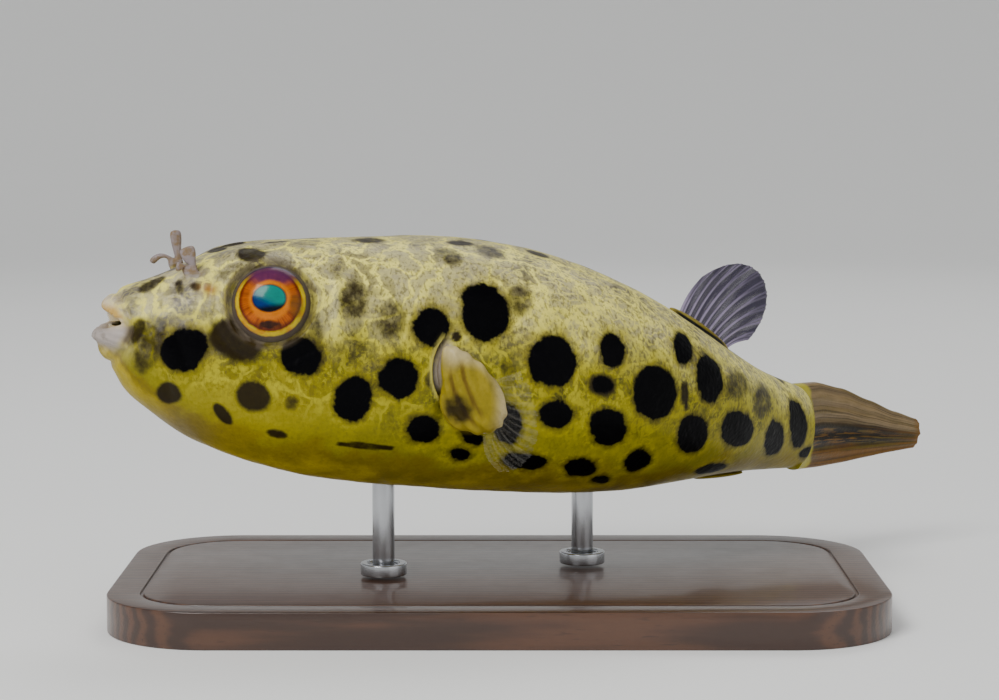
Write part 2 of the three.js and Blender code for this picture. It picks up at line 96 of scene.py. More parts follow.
# The lips and the mouth's lining, from outside to inside: place and height of the upper lip's middle,
# place, side and height of the mouth's corner, and place and height of the lower lip's middle.
MOUTH_RINGS = (
    ((-37.8, 22.3), (-37.0, 4.35, 18.2), (-38.6, 14.2)),
    ((-38.75, 21.55), (-37.4, 3.9, 18.7), (-39.5, 15.3)),
    ((-39.5, 20.95), (-37.8, 3.5, 18.9), (-40.15, 16.25)),
    ((-39.7, 20.35), (-38.0, 3.05, 18.95), (-40.8, 17.25)),
    ((-39.35, 19.95), (-37.9, 2.75, 18.95), (-40.5, 18.15)),
    ((-38.6, 19.75), (-37.5, 2.55, 18.92), (-39.4, 18.4)),
    ((-38.0, 20.05), (-36.9, 2.45, 18.9), (-38.6, 17.8)),
    ((-36.6, 20.3), (-35.8, 2.3, 18.8), (-36.8, 17.2)),
    ((-34.4, 19.4), (-34.4, 1.3, 18.6), (-34.4, 17.8)),
)
BROW = (-27.2, 6.2, 0.6, 3.4, 2.6)  # place, side, rise, length and width of the swelling over each eye
EYE_PLACE, EYE_SIDE, EYE_HEIGHT, EYE_RADIUS = -24.1, 5.5, 20.2, 4.4
EYE_FORWARD = math.radians(15)  # how far the eye looks forward of square to the head
EYE_UP = math.radians(18)
# Rings of the skin round the eye: radius and height, over the skin or over the eyeball.
EYE_RINGS = (
    ("skin", 5.3, 0.0),
    ("skin", 4.85, -0.05),
    ("skin", 4.4, 0.2),
    ("ball", 3.95, 0.4),
    ("ball", 3.68, 0.1),
    ("ball", 3.6, -0.6),
    ("ball", 3.0, -2.0),
)
EYE_RIM_SHARES = (0, 0, 0.6, 1, 1, 1, 1)  # how much of each ring has the rim's colour
EYE_BLOCK = (RINGS.index(-19.6), 3)  # first ring and column of the 4 by 4 faces that become the eye opening
BLOCK_SIZE = 4

FEELER_PLACE, FEELER_SIDE = -31.8, 4.1
FEELERS = {  # forward, outward and up of each lobe's middle and tip, and its half breadth
    -1: {
        "tall": ((0.1, 0.1, 1.3), (0.5, 0.2, 2.6), 0.88),
        "short": ((0.7, 0.3, 0.7), (1.2, 0.4, 0.75), 0.5),
    },
    1: {
        "tall": ((0.0, 0.1, 1.9), (0.15, 0.1, 3.7), 0.66),
        "short": ((1.2, 0.2, 1.25), (2.2, 0.3, 0.45), 0.4),
    },
}

# Sink is how far below the body's top or bottom line a fin's root lies, and ray is its longest ray's
# length. First and last are the directions of its first and last ray. All angles are in degrees.
DORSAL = dict(start=20.8, end=27.6, column=TOP, sink=0.1, upward=1, ray=12.5, first=44, last=12, curl=26,
              lean=14, ridge=0.8)
ANAL = dict(start=24.6, end=30.2, column=BOTTOM, sink=-0.9, upward=-1, ray=9.0, first=46, last=26, curl=20,
            lean=84, ridge=0.4)
PECTORAL = dict(place=-6.4, side=11.9, height=12.3, half_height=5.0, half_length=3.2, half_thickness=1.2,
                slope=17, lobe_flare=18, fin_flare=72, ray=6.4, first=10, last=-84, spread=0.8, cup=0.7)
CAUDAL_ROOT, CAUDAL_LENGTH = 40.7, 18.7
CAUDAL_TOP = (8.95, 8.85, 7.9, 6.35, 4.8, 3.6)  # heights at even steps from root to tip
CAUDAL_BOTTOM = (-0.5, -0.55, -0.4, -0.15, 0.1, 0.3)
CAUDAL_THICKNESS = (4.4, 0.8)


# ---------- the body's form ----------


def clamp01(t):
    return min(1.0, max(0.0, t))


def smooth(t):
    t = np.clip(t, 0, 1)
    return t * t * (3 - 2 * t)


def mix(a, b, t):
    return a + (b - a) * t


def section_value(column, place):
    """One column of SECTIONS at a place, or at an array of places, on a smooth curve through them."""
    places = SECTIONS[:, PLACE]
    values = SECTIONS[:, column]
    slopes = np.array([
        (values[min(i + 1, len(places) - 1)] - values[max(i - 1, 0)])
        / (places[min(i + 1, len(places) - 1)] - places[max(i - 1, 0)])
        for i in range(len(places))
    ])
    at = np.clip(place, places[0] - 1.5, places[-1] + 2.0)
    i = np.clip(np.searchsorted(places, at) - 1, 0, len(places) - 2)
    span = places[i + 1] - places[i]
    t = (at - places[i]) / span
    return (
        (2 * t**3 - 3 * t**2 + 1) * values[i]
        + (t**3 - 2 * t**2 + t) * span * slopes[i]
        + (3 * t**2 - 2 * t**3) * values[i + 1]
        + (t**3 - t**2) * span * slopes[i + 1]
    )


def spine_direction(place):
    bend = BEND[2] * smooth((place - BEND[0]) / (BEND[1] - BEND[0]))
    trail = TRAIL[2] * smooth((place - TRAIL[0]) / (TRAIL[1] - TRAIL[0]))
    return HEAD_TURN + bend + trail


SPINE_STEP = 0.25
SPINE_PLACES = np.arange(-46, 64, SPINE_STEP)


def spine_line():
    """The spine's points seen from above, one for each of SPINE_PLACES."""
    direction = spine_direction(SPINE_PLACES + SPINE_STEP / 2)
    steps = np.stack([np.cos(direction), np.sin(direction)], 1) * SPINE_STEP
    points = np.cumsum(steps, 0) - steps
    origin = points[np.argmin(np.abs(SPINE_PLACES))]
    return points - origin


SPINE = spine_line()


def on_spine(place, side, height):
    """A point by its place along the spine, distance to the right of it and height."""
    x = np.interp(place, SPINE_PLACES, SPINE[:, 0])
    y = np.interp(place, SPINE_PLACES, SPINE[:, 1])
    direction = float(spine_direction(place))
    return Vector((x - side * math.sin(direction), y + side * math.cos(direction), height + LIFT))


def along_spine(place, back, right, up):
    """A direction given as back along the spine, to the right and up, at a place."""
    direction = float(spine_direction(place))
    return Vector((
        back * math.cos(direction) - right * math.sin(direction),
        back * math.sin(direction) + right * math.cos(direction),
        up,
    ))


def spine_coordinates(points):
    """Place, side and height of every point of an array."""
    places, sides = np.empty(len(points)), np.empty(len(points))
    for first in range(0, len(points), 20000):
        part = points[first:first + 20000, :2]
        gaps = ((part[:, None, :] - SPINE[None, :, :]) ** 2).sum(2)
        nearest = gaps.argmin(1)
        direction = spine_direction(SPINE_PLACES[nearest])
        offset = part - SPINE[nearest]
        along = offset[:, 0] * np.cos(direction) + offset[:, 1] * np.sin(direction)
        places[first:first + 20000] = SPINE_PLACES[nearest] + along
        sides[first:first + 20000] = offset[:, 1] * np.cos(direction) - offset[:, 0] * np.sin(direction)
    return places, sides, points[:, 2] - LIFT


def brow_rise(place, side):
    brow_place, brow_side, rise, long, wide = BROW
    return rise * np.exp(-(((place - brow_place) / long) ** 2) - ((np.abs(side) - brow_side) / wide) ** 2)


def body_point(place, angle):
    """A point of the skin. Angle 0 is the back, and a positive angle is on the right."""
    up, across = math.cos(angle), math.sin(angle)
    widest = section_value(WIDEST, place)
    reach = section_value(TOP, place) - widest if up > 0 else widest - section_value(BOTTOM, place)
    power = 2 / section_value(UPPER_SQ if up > 0 else LOWER_SQ, place)
    side = section_value(HALF_WIDTH, place) * math.copysign(abs(across) ** power, across)
    rise = reach * math.copysign(abs(up) ** power, up)
    swelling = brow_rise(place, side) if up > 0 else 0.0
    return on_spine(place + section_value(LEAN, place) * rise, side, widest + rise + swelling)


def skin_height(place, side):
    """Height of the skin's upper half at a place and a distance to the side."""
    across = min(0.999, abs(side) / section_value(HALF_WIDTH, place))
    squareness = section_value(UPPER_SQ, place)
    rise = (1 - across**squareness) ** (1 / squareness)
    top = section_value(TOP, place)
    return mix(section_value(WIDEST, place), top, rise) + brow_rise(place, side)


def inside_head(place, side, height):
    widest = section_value(WIDEST, place)
    height -= brow_rise(place, side) if height > widest else 0
    reach = section_value(TOP, place) - widest if height > widest else widest - section_value(BOTTOM, place)
    power = section_value(UPPER_SQ if height > widest else LOWER_SQ, place)
    across = abs(side) / section_value(HALF_WIDTH, place)
    return across**power + (abs(height - widest) / reach) ** power < 1


# ---------- mesh helpers ----------


def deselect():
    bpy.ops.object.select_all(action="DESELECT")


def choose(piece):
    deselect()
    piece.select_set(True)
    bpy.context.view_layer.objects.active = piece


def finished(name):
    """The active object, named, with its place put into its mesh."""
    piece = bpy.context.active_object
    piece.name = name
    piece.data.name = name
    bpy.ops.object.transform_apply(location=True, rotation=True, scale=True)
    return piece


def points_of(piece):
    flat = np.empty(len(piece.data.vertices) * 3)
    piece.data.vertices.foreach_get("co", flat)
    return flat.reshape(-1, 3) / MM


def set_points(piece, points):
    piece.data.vertices.foreach_set("co", (points * MM).ravel())
    piece.data.update()


def normals_of(piece):
    flat = np.empty(len(piece.data.vertices) * 3)
    piece.data.vertices.foreach_get("normal", flat)
    return flat.reshape(-1, 3)


def set_attribute(piece, name, values):
    attribute = piece.data.attributes.get(name) or piece.data.attributes.new(name, "FLOAT", "POINT")
    attribute.data.foreach_set("value", np.asarray(values, dtype=np.float32))


def get_attribute(piece, name):
    values = np.empty(len(piece.data.vertices), np.float32)
    piece.data.attributes[name].data.foreach_get("value", values)
    return values


def apply_modifiers(piece):
    choose(piece)
    for modifier in list(piece.modifiers):
        bpy.ops.object.modifier_apply(modifier=modifier.name)


def subdivide_smoothly(piece, levels):
    modifier = piece.modifiers.new("Smooth", "SUBSURF")
    modifier.levels = levels
    modifier.render_levels = levels
    apply_modifiers(piece)


def edit(kind=None):
    """Opens the active object's mesh for editing, with vertices, edges or faces to select."""
    bpy.ops.object.mode_set(mode="EDIT")
    if kind:
        bpy.ops.mesh.select_mode(type=kind)


def leave_edit():
    bpy.ops.object.mode_set(mode="OBJECT")


def extrude(x=0.0, z=0.0):
    bpy.ops.mesh.extrude_region_move(TRANSFORM_OT_translate={"value": (x, 0, z)})


def select_parts(piece, parts, test):
    """Selects the edges or the faces of the mesh open for editing that pass a test."""
    bpy.ops.mesh.select_all(action="DESELECT")
    mesh = bmesh.from_edit_mesh(piece.data)
    for part in getattr(mesh, parts):
        part.select = test(part)
    mesh.select_flush_mode()
    bmesh.update_edit_mesh(piece.data)


def outward(piece):
    choose(piece)
    bpy.ops.object.mode_set(mode="EDIT")
    bpy.ops.mesh.select_all(action="SELECT")
    bpy.ops.mesh.remove_doubles(threshold=1e-7)
    bpy.ops.mesh.normals_make_consistent(inside=False)
    if bmesh.from_edit_mesh(piece.data).calc_volume(signed=True) < 0:
        bpy.ops.mesh.flip_normals()
    bpy.ops.object.mode_set(mode="OBJECT")


def smooth_shaded(piece, angle=None):
    choose(piece)
    if angle is None:
        bpy.ops.object.shade_smooth()
    else:
        bpy.ops.object.shade_smooth_by_angle(angle=math.radians(angle))


# ---------- the skin's coarse cage ----------

CAGE_MARKS = ("lip", "mouth", "eye_rim", "ridge", "lobe", "feeler")
# How much of each mouth ring is lip, and how much is lining.
LIP_SHARES = (0, 0.5, 0.95, 1, 1, 0.9, 0.5, 0, 0)
LINING_SHARES = (0, 0, 0, 0, 0, 0.15, 0.6, 1, 1)


class Cage:
    """The skin while it is a coarse cage. Every vertex keeps the ring and the column it came from."""

    def __init__(self):
        deselect()
        first = body_point(RINGS[0], 0)
        bpy.ops.mesh.primitive_circle_add(
            vertices=COLUMNS, radius=MM, fill_type="NGON", location=first * MM, rotation=(0, math.pi / 2, 0)
        )
        self.piece = finished("skin")
        edit("FACE")
        self.mesh = bmesh.from_edit_mesh(self.piece.data)
        self.ring = self.mesh.verts.layers.int.new("ring")
        self.column = self.mesh.verts.layers.int.new("column")
        for mark in CAGE_MARKS:
            self.mesh.verts.layers.float.new(mark)
        self.mesh.verts.ensure_lookup_table()
        centre = first * MM
        for vertex in self.mesh.verts:
            arm = vertex.co - centre
            turn = math.atan2(arm.y, arm.z) % (2 * math.pi)
            vertex[self.column] = round(turn / (2 * math.pi) * COLUMNS) % COLUMNS
        bpy.ops.mesh.select_all(action="SELECT")

    def refresh(self):
        self.mesh = bmesh.from_edit_mesh(self.piece.data)
        self.ring = self.mesh.verts.layers.int["ring"]
        self.column = self.mesh.verts.layers.int["column"]
        self.mesh.verts.ensure_lookup_table()
        self.mesh.faces.ensure_lookup_table()

    def chosen(self):
        return [vertex for vertex in self.mesh.verts if vertex.select]

    def pull(self, step):
        """Extrudes the chosen faces by one step forward."""
        extrude(x=-step * MM)
        self.refresh()

    def inset(self):
        """Insets the chosen faces by a token amount, because their vertices are placed afterwards."""
        bpy.ops.mesh.inset(thickness=0.05 * MM, use_boundary=True)
        self.refresh()

    def pick(self, rings, columns):
        """Selects the faces whose corners lie within a span of rings and a span of columns."""
        bpy.ops.mesh.select_all(action="DESELECT")
        self.refresh()
        wanted = {column % COLUMNS for column in range(columns[0], columns[1] + 1)}
        for face in self.mesh.faces:
            face.select = len(face.verts) == 4 and all(
                rings[0] <= vertex[self.ring] <= rings[1] and vertex[self.column] in wanted
                for vertex in face.verts
            )
        self.mesh.select_flush_mode()
        bmesh.update_edit_mesh(self.piece.data)
        self.refresh()

    def block_share(self, vertex, rings, columns):
        """Where a vertex lies in a block of faces, as two shares from -1 to 1, bent to a round disc."""
        s = (vertex[self.ring] - rings[0]) / (rings[1] - rings[0]) * 2 - 1
        t = ((vertex[self.column] - columns[0]) % COLUMNS) / (columns[1] - columns[0]) * 2 - 1
        return s * math.sqrt(1 - t * t / 2), t * math.sqrt(1 - s * s / 2)

    def mark(self, name, value):
        """Sets one of the marks on the chosen vertices. The skin's materials and sculpting read them."""
        layer = self.mesh.verts.layers.float[name]
        for vertex in self.chosen():
            vertex[layer] = value

    def update(self):
        bmesh.update_edit_mesh(self.piece.data)


def mouth_point(ring, angle):
    upper, corner, lower = MOUTH_RINGS[ring]
    up = math.cos(angle)
    middle = abs(up)
    place, height = upper if up > 0 else lower
    return on_spine(
        mix(corner[0], place, middle**0.8),
        corner[1] * math.sin(angle),
        mix(corner[2], height, middle**0.9),
    )


def pull_body(cage):
    """Extrudes the cage ring by ring from the tail to the inside of the mouth."""
    rings = len(RINGS) + len(MOUTH_RINGS)
    for ring in range(1, rings):
        cage.pull(2.0)
        for vertex in cage.chosen():
            vertex[cage.ring] = ring
        if ring >= len(RINGS):
            cage.mark("lip", LIP_SHARES[ring - len(RINGS)])
            cage.mark("mouth", LINING_SHARES[ring - len(RINGS)])
    for vertex in cage.mesh.verts:
        ring = vertex[cage.ring]
        angle = 2 * math.pi * vertex[cage.column] / COLUMNS
        if ring >= len(RINGS):
            vertex.co = mouth_point(ring - len(RINGS), angle) * MM
        else:
            vertex.co = body_point(RINGS[ring], angle) * MM
            if ring == 0:
                middle = on_spine(RINGS[0], 0, section_value(WIDEST, RINGS[0]))
                vertex.co = vertex.co.lerp(middle * MM, TAIL_END_SHRINK)
    cage.update()


def eye_axes(side):
    """The eye's centre, where it looks, and two directions across it: back and up."""
    centre = on_spine(EYE_PLACE, side * EYE_SIDE, EYE_HEIGHT)
    forward = math.sin(EYE_FORWARD) * math.cos(EYE_UP)
    outward_share = math.cos(EYE_FORWARD) * math.cos(EYE_UP)
    axis = along_spine(EYE_PLACE, -forward, side * outward_share, math.sin(EYE_UP))
    back = along_spine(EYE_PLACE, math.cos(EYE_FORWARD), side * math.sin(EYE_FORWARD), 0)
    return centre, axis, back, axis.cross(back) * (-side)


DEPTH_RANGE, HALVINGS = (-4.0, 8.0), 24  # where the skin is looked for along an eye's axis, and how finely


def skin_depth(point, axis):
    """How far along the axis from a point the skin lies."""
    low, high = DEPTH_RANGE
    for _ in range(HALVINGS):
        middle = (low + high) / 2
        x, y, z = point + axis * middle
        place = x * math.cos(HEAD_TURN) + y * math.sin(HEAD_TURN)
        side = y * math.cos(HEAD_TURN) - x * math.sin(HEAD_TURN)
        if inside_head(place, side, z - LIFT):
            low = middle
        else:
            high = middle
    return low


ROUNDING = 0.975  # how much smaller a ring of 16 corners comes out after smoothing


def open_eyes(cage):
    """Turns a block of faces on each side into the round opening that the eye sits in."""
    for side in (-1, 1):
        rings = (EYE_BLOCK[0], EYE_BLOCK[0] + BLOCK_SIZE)
        first = EYE_BLOCK[1] if side > 0 else COLUMNS - EYE_BLOCK[1] - BLOCK_SIZE
        columns = (first, first + BLOCK_SIZE)
        centre, axis, back, up = eye_axes(side)
        cage.pick(rings, columns)
        for step, (over, radius, height) in enumerate(EYE_RINGS):
            if step:
                cage.inset()
                cage.mark("eye_rim", EYE_RIM_SHARES[step])
            for vertex in cage.chosen():
                p, q = cage.block_share(vertex, rings, columns)
                p, q = -p * radius / ROUNDING, -q * side * radius / ROUNDING
                start = centre + back * p + up * q
                ball = math.sqrt(max(0.0, EYE_RADIUS**2 - p * p - q * q)) + height
                depth = skin_depth(start, axis) + height if over == "skin" else ball
                vertex.co = (start + axis * depth) * MM
        cage.update()


def fin_base(fin, place):
    return section_value(fin["column"], place) - fin["sink"]


RIDGE_STEPS = ((1.25, 0.4), (0.95, 1.4), (0.5, 2.1))  # half width and height of each extrusion


def raise_ridge(cage, fin, rings, column):
    """Extrudes the fleshy ridge that a midline fin stands on."""
    cage.pick(rings, (column - 1, column + 1))
    for half_width, rise in RIDGE_STEPS:
        cage.pull(0.0)
        cage.mark("ridge", 1.0)
        for vertex in cage.chosen():
            share = (vertex[cage.ring] - rings[0]) / (rings[1] - rings[0])
            place = mix(fin["end"] + 0.9, fin["start"] - 0.9, share)
            step = (vertex[cage.column] - column + COLUMNS // 2) % COLUMNS - COLUMNS // 2
            slim = math.sin(math.pi * mix(0.16, 0.84, share)) ** 0.7
            lean = math.radians(fin["lean"]) * (1 if fin["upward"] > 0 else 0.6)
            over = rise * slim * fin["ridge"]
            side = step * half_width * slim + over * math.sin(lean)
            height = section_value(fin["column"], place) + fin["upward"] * over * math.cos(lean)
            vertex.co = on_spine(place, side, height) * MM
    cage.update()


def pectoral_axes(side, flare_degrees):
    """Directions back along a pectoral lobe or fin, up its root and out from the flank."""
    slope, flare = math.radians(PECTORAL["slope"]), math.radians(flare_degrees)
    place = PECTORAL["place"]
    up = along_spine(place, -math.sin(slope), 0, math.cos(slope))
    back = along_spine(
        place,
        math.cos(slope) * math.cos(flare),
        side * math.sin(flare),
        math.sin(slope) * math.cos(flare),
    )
    return up, back, back.cross(up) * -side


def pectoral_centre(side):
    return on_spine(PECTORAL["place"], side * PECTORAL["side"], PECTORAL["height"])


# Steps of a pectoral lobe: length and height of its outline, its shift back and its distance out.
LOBE_STEPS = (
    (0.62, 0.74, -0.9, -0.75),
    (0.93, 0.95, 0.0, -0.4),
    (1.0, 1.0, 0.0, 0.15),
    (0.9, 0.93, -0.1, 0.75),
    (0.62, 0.72, -0.2, 1.1),
)
LOBE_RINGS = (RINGS.index(-3.4), RINGS.index(-7.4))
LOBE_COLUMNS = (6, 10)


def raise_lobes(cage):
    """Extrudes the fleshy lobe that each pectoral fin stands on."""
    for side in (-1, 1):
        first = LOBE_COLUMNS[0] if side > 0 else COLUMNS - LOBE_COLUMNS[1]
        columns = (first, first + BLOCK_SIZE)
        up, back, out = pectoral_axes(side, PECTORAL["lobe_flare"])
        centre = pectoral_centre(side)
        cage.pick(LOBE_RINGS, columns)
        for step, (long, tall, shift, distance) in enumerate(LOBE_STEPS):
            if step:
                cage.pull(0.0)
                cage.mark("lobe", 1.0)
            for vertex in cage.chosen():
                p, q = cage.block_share(vertex, LOBE_RINGS, columns)
                p, q = -p, -q * side
                p = p * (1 - (0.62 if q > 0 else 0.3) * q) - 0.3 * q**3
                q *= 1.16 if q > 0 else 1.0
                dome = 0.25 * (1 - p * p - q * q) if step == len(LOBE_STEPS) - 1 else 0
                vertex.co = (
                    centre
                    + back * (p * long * PECTORAL["half_length"] + shift)
                    + up * (q * tall * PECTORAL["half_height"])
                    + out * (distance + dome)
                ) * MM
    cage.update()


# ---------- nostril feelers ----------

STEM_STEPS = ((0.25, 0.85, 0.55), (0.75, 0.72, 0.42))  # height, half length and half width
LOBE_SHARES = (0.35, 0.68, 0.92, 1.0)  # of each feeler lobe's path, one for each extrusion
LOBE_SIZES = ((0.62, 0.42), (0.9, 0.36), (1.0, 0.32), (0.62, 0.2))  # share of the breadth, and half width


def feeler_path(points, share):
    """A point on the smooth curve from a lobe's root through its middle to its tip."""
    start, middle, tip = Vector((0, 0, STEM_STEPS[-1][0])), Vector(points[0]), Vector(points[1])
    bend = middle * 2 - (start + tip) / 2
    return start * (1 - share) ** 2 + bend * 2 * share * (1 - share) + tip * share**2


def feeler_roots(mesh, side):
    """The two faces, front and rear, that a feeler grows from."""
    root = on_spine(FEELER_PLACE, side * FEELER_SIDE, skin_height(FEELER_PLACE, FEELER_SIDE)) * MM
    back = along_spine(FEELER_PLACE, 1, 0, 0)
    rear = min(mesh.faces, key=lambda face: (face.calc_center_median() - root - back * 0.4 * MM).length)
    beside = [other for edge in rear.edges for other in edge.link_faces if other != rear]
    front = min(beside, key=lambda face: face.calc_center_median().dot(back))
    return front, rear, root


def grow_feelers(skin):
    """Extrudes each nostril's forked feeler from two faces of the skin."""
    choose(skin)
    edit("FACE")
    mesh = bmesh.from_edit_mesh(skin.data)
    mesh.verts.layers.int.new("along")
    mesh.verts.layers.int.new("across")
    for side in (-1, 1):
        bpy.ops.mesh.select_all(action="DESELECT")
        mesh = bmesh.from_edit_mesh(skin.data)
        along, across = mesh.verts.layers.int["along"], mesh.verts.layers.int["across"]
        mark = mesh.verts.layers.float["feeler"]
        mesh.faces.ensure_lookup_table()
        front, rear, root = feeler_roots(mesh, side)
        back, right = along_spine(FEELER_PLACE, 1, 0, 0), along_spine(FEELER_PLACE, 0, 1, 0)
        middle = (front.calc_center_median() + rear.calc_center_median()) / 2
        for vertex in set(front.verts) | set(rear.verts):
            reach = (vertex.co - middle).dot(back) / MM
            vertex[along] = 0 if abs(reach) < 0.3 else int(math.copysign(1, reach))
            vertex[across] = int(math.copysign(1, (vertex.co - middle).dot(right)))
            vertex[mark] = 0.4
        front.select = rear.select = True
        bmesh.update_edit_mesh(skin.data)

        def step(centre, direction, half_length, half_width, shift=0):
            extrude()
            grown = bmesh.from_edit_mesh(skin.data)
            layers = grown.verts.layers
            long_way = right.cross(direction).normalized()
            for vertex in [v for v in grown.verts if v.select]:
                a, b = vertex[layers.int["along"]] - shift, vertex[layers.int["across"]]
                a *= 2 if shift else 1
                vertex[layers.float["feeler"]] = 1.0
                vertex.co = centre + (long_way * a * half_length + right * b * half_width) * MM
            bmesh.update_edit_mesh(skin.data)

        up = Vector((0, 0, 1))
        for height, half_length, half_width in STEM_STEPS:
            step(root + up * height * MM, up, half_length, half_width)
        stem_top = STEM_STEPS[-1][0]
        for name, along_side in (("tall", 1), ("short", -1)):
            bpy.ops.mesh.select_all(action="DESELECT")
            grown = bmesh.from_edit_mesh(skin.data)
            layers = grown.verts.layers
            for face in grown.faces:
                centre = face.calc_center_median()
                forked = all(vertex[layers.float["feeler"]] == 1.0 for vertex in face.verts)
                level = abs((centre - root).z / MM - stem_top) < 0.05
                ahead = (centre - root).dot(back) * along_side > 0
                if forked and level and ahead and (centre - root).length < 1.2 * MM:
                    face.select = True
            grown.select_flush_mode()
            bmesh.update_edit_mesh(skin.data)
            breadth = FEELERS[side][name][2]
            for share, (broad, half_width) in zip(LOBE_SHARES, LOBE_SIZES):
                forward, out, rise = feeler_path(FEELERS[side][name], share)
                nearby = feeler_path(FEELERS[side][name], share - 0.05)
                moved = Vector((forward, out, rise)) - nearby
                direction = along_spine(FEELER_PLACE, -moved.x, side * moved.y, moved.z).normalized()
                place = along_spine(FEELER_PLACE, -forward, side * out, rise)
                step(root + (place + back * along_side * 0.15) * MM, direction, broad * breadth, half_width,
                     shift=along_side * 0.5)
    leave_edit()


# ---------- the skin's finer form ----------

GILL_CENTRE = (-5.6, 14.4)  # place and height of the middle of the arc that the gill slit follows
GILL_RADIUS = 4.1
GILL_HALF_ANGLE = math.radians(44)
# Folds along the gill slit: distance in front of its line, depth and width.
GILL_FOLDS = ((-0.06, -0.55, 0.22), (0.6, 0.3, 0.45), (-1.3, -0.3, 0.7))
# Folds behind the corners of the mouth: distance behind the first one, depth and width.
FACE_FOLDS = ((0.0, -0.34, 0.45), (1.3, 0.24, 0.8), (2.5, -0.2, 0.4), (3.6, 0.14, 0.8), (5.0, -0.12, 0.5))
# Folds behind and under each eye: distance from the eye's middle, depth and width.
EYE_FOLDS = ((5.75, -0.16, 0.45), (6.7, 0.12, 0.7))
# Unevenness of the whole skin: rate, skew, phase and size.
WAVES = ((0.31, 0.7, 1.9, 0.05), (0.73, 0.4, 0.6, 0.035), (1.3, 1.1, 0.9, 0.02))
LIP_FOOT = 16.4  # height of the lower lip's lower edge at its middle


def gill_share(place, height):
    """Distance in front of the gill slit's line, and how fully a point lies beside the slit."""
    ahead, above = GILL_CENTRE[0] - place, height - GILL_CENTRE[1]
    distance = np.hypot(ahead, above) - GILL_RADIUS
    turn = np.abs(np.arctan2(above, ahead))
    return distance, smooth((GILL_HALF_ANGLE - turn) / math.radians(16) + 0.5)


def bell(value, width):
    return np.exp(-((value / width) ** 2))


def above_lip_foot(place, height):
    """Height over the lower lip's lower edge, which drops a little towards the mouth's corners."""
    return height - LIP_FOOT + 0.25 * (place + 39)


def lobe_shares(points, side):
    """Points as shares of a side fin's lobe, along it and up it, and whether they lie near it."""
    up, back, out = (np.array(axis) for axis in pectoral_axes(side, PECTORAL["lobe_flare"]))
    arm = points - np.array(pectoral_centre(side))
    p, q = arm @ back / PECTORAL["half_length"], arm @ up / PECTORAL["half_height"]
    return p, q, np.abs(arm @ out) < 3


def lobe_furrow(p, q):
    """The angle whose waves are the furrows down a side fin's lobe, at a share of its length and height."""
    return (p - 0.42 * q * q + 0.2 * q) * 16 + 1.2


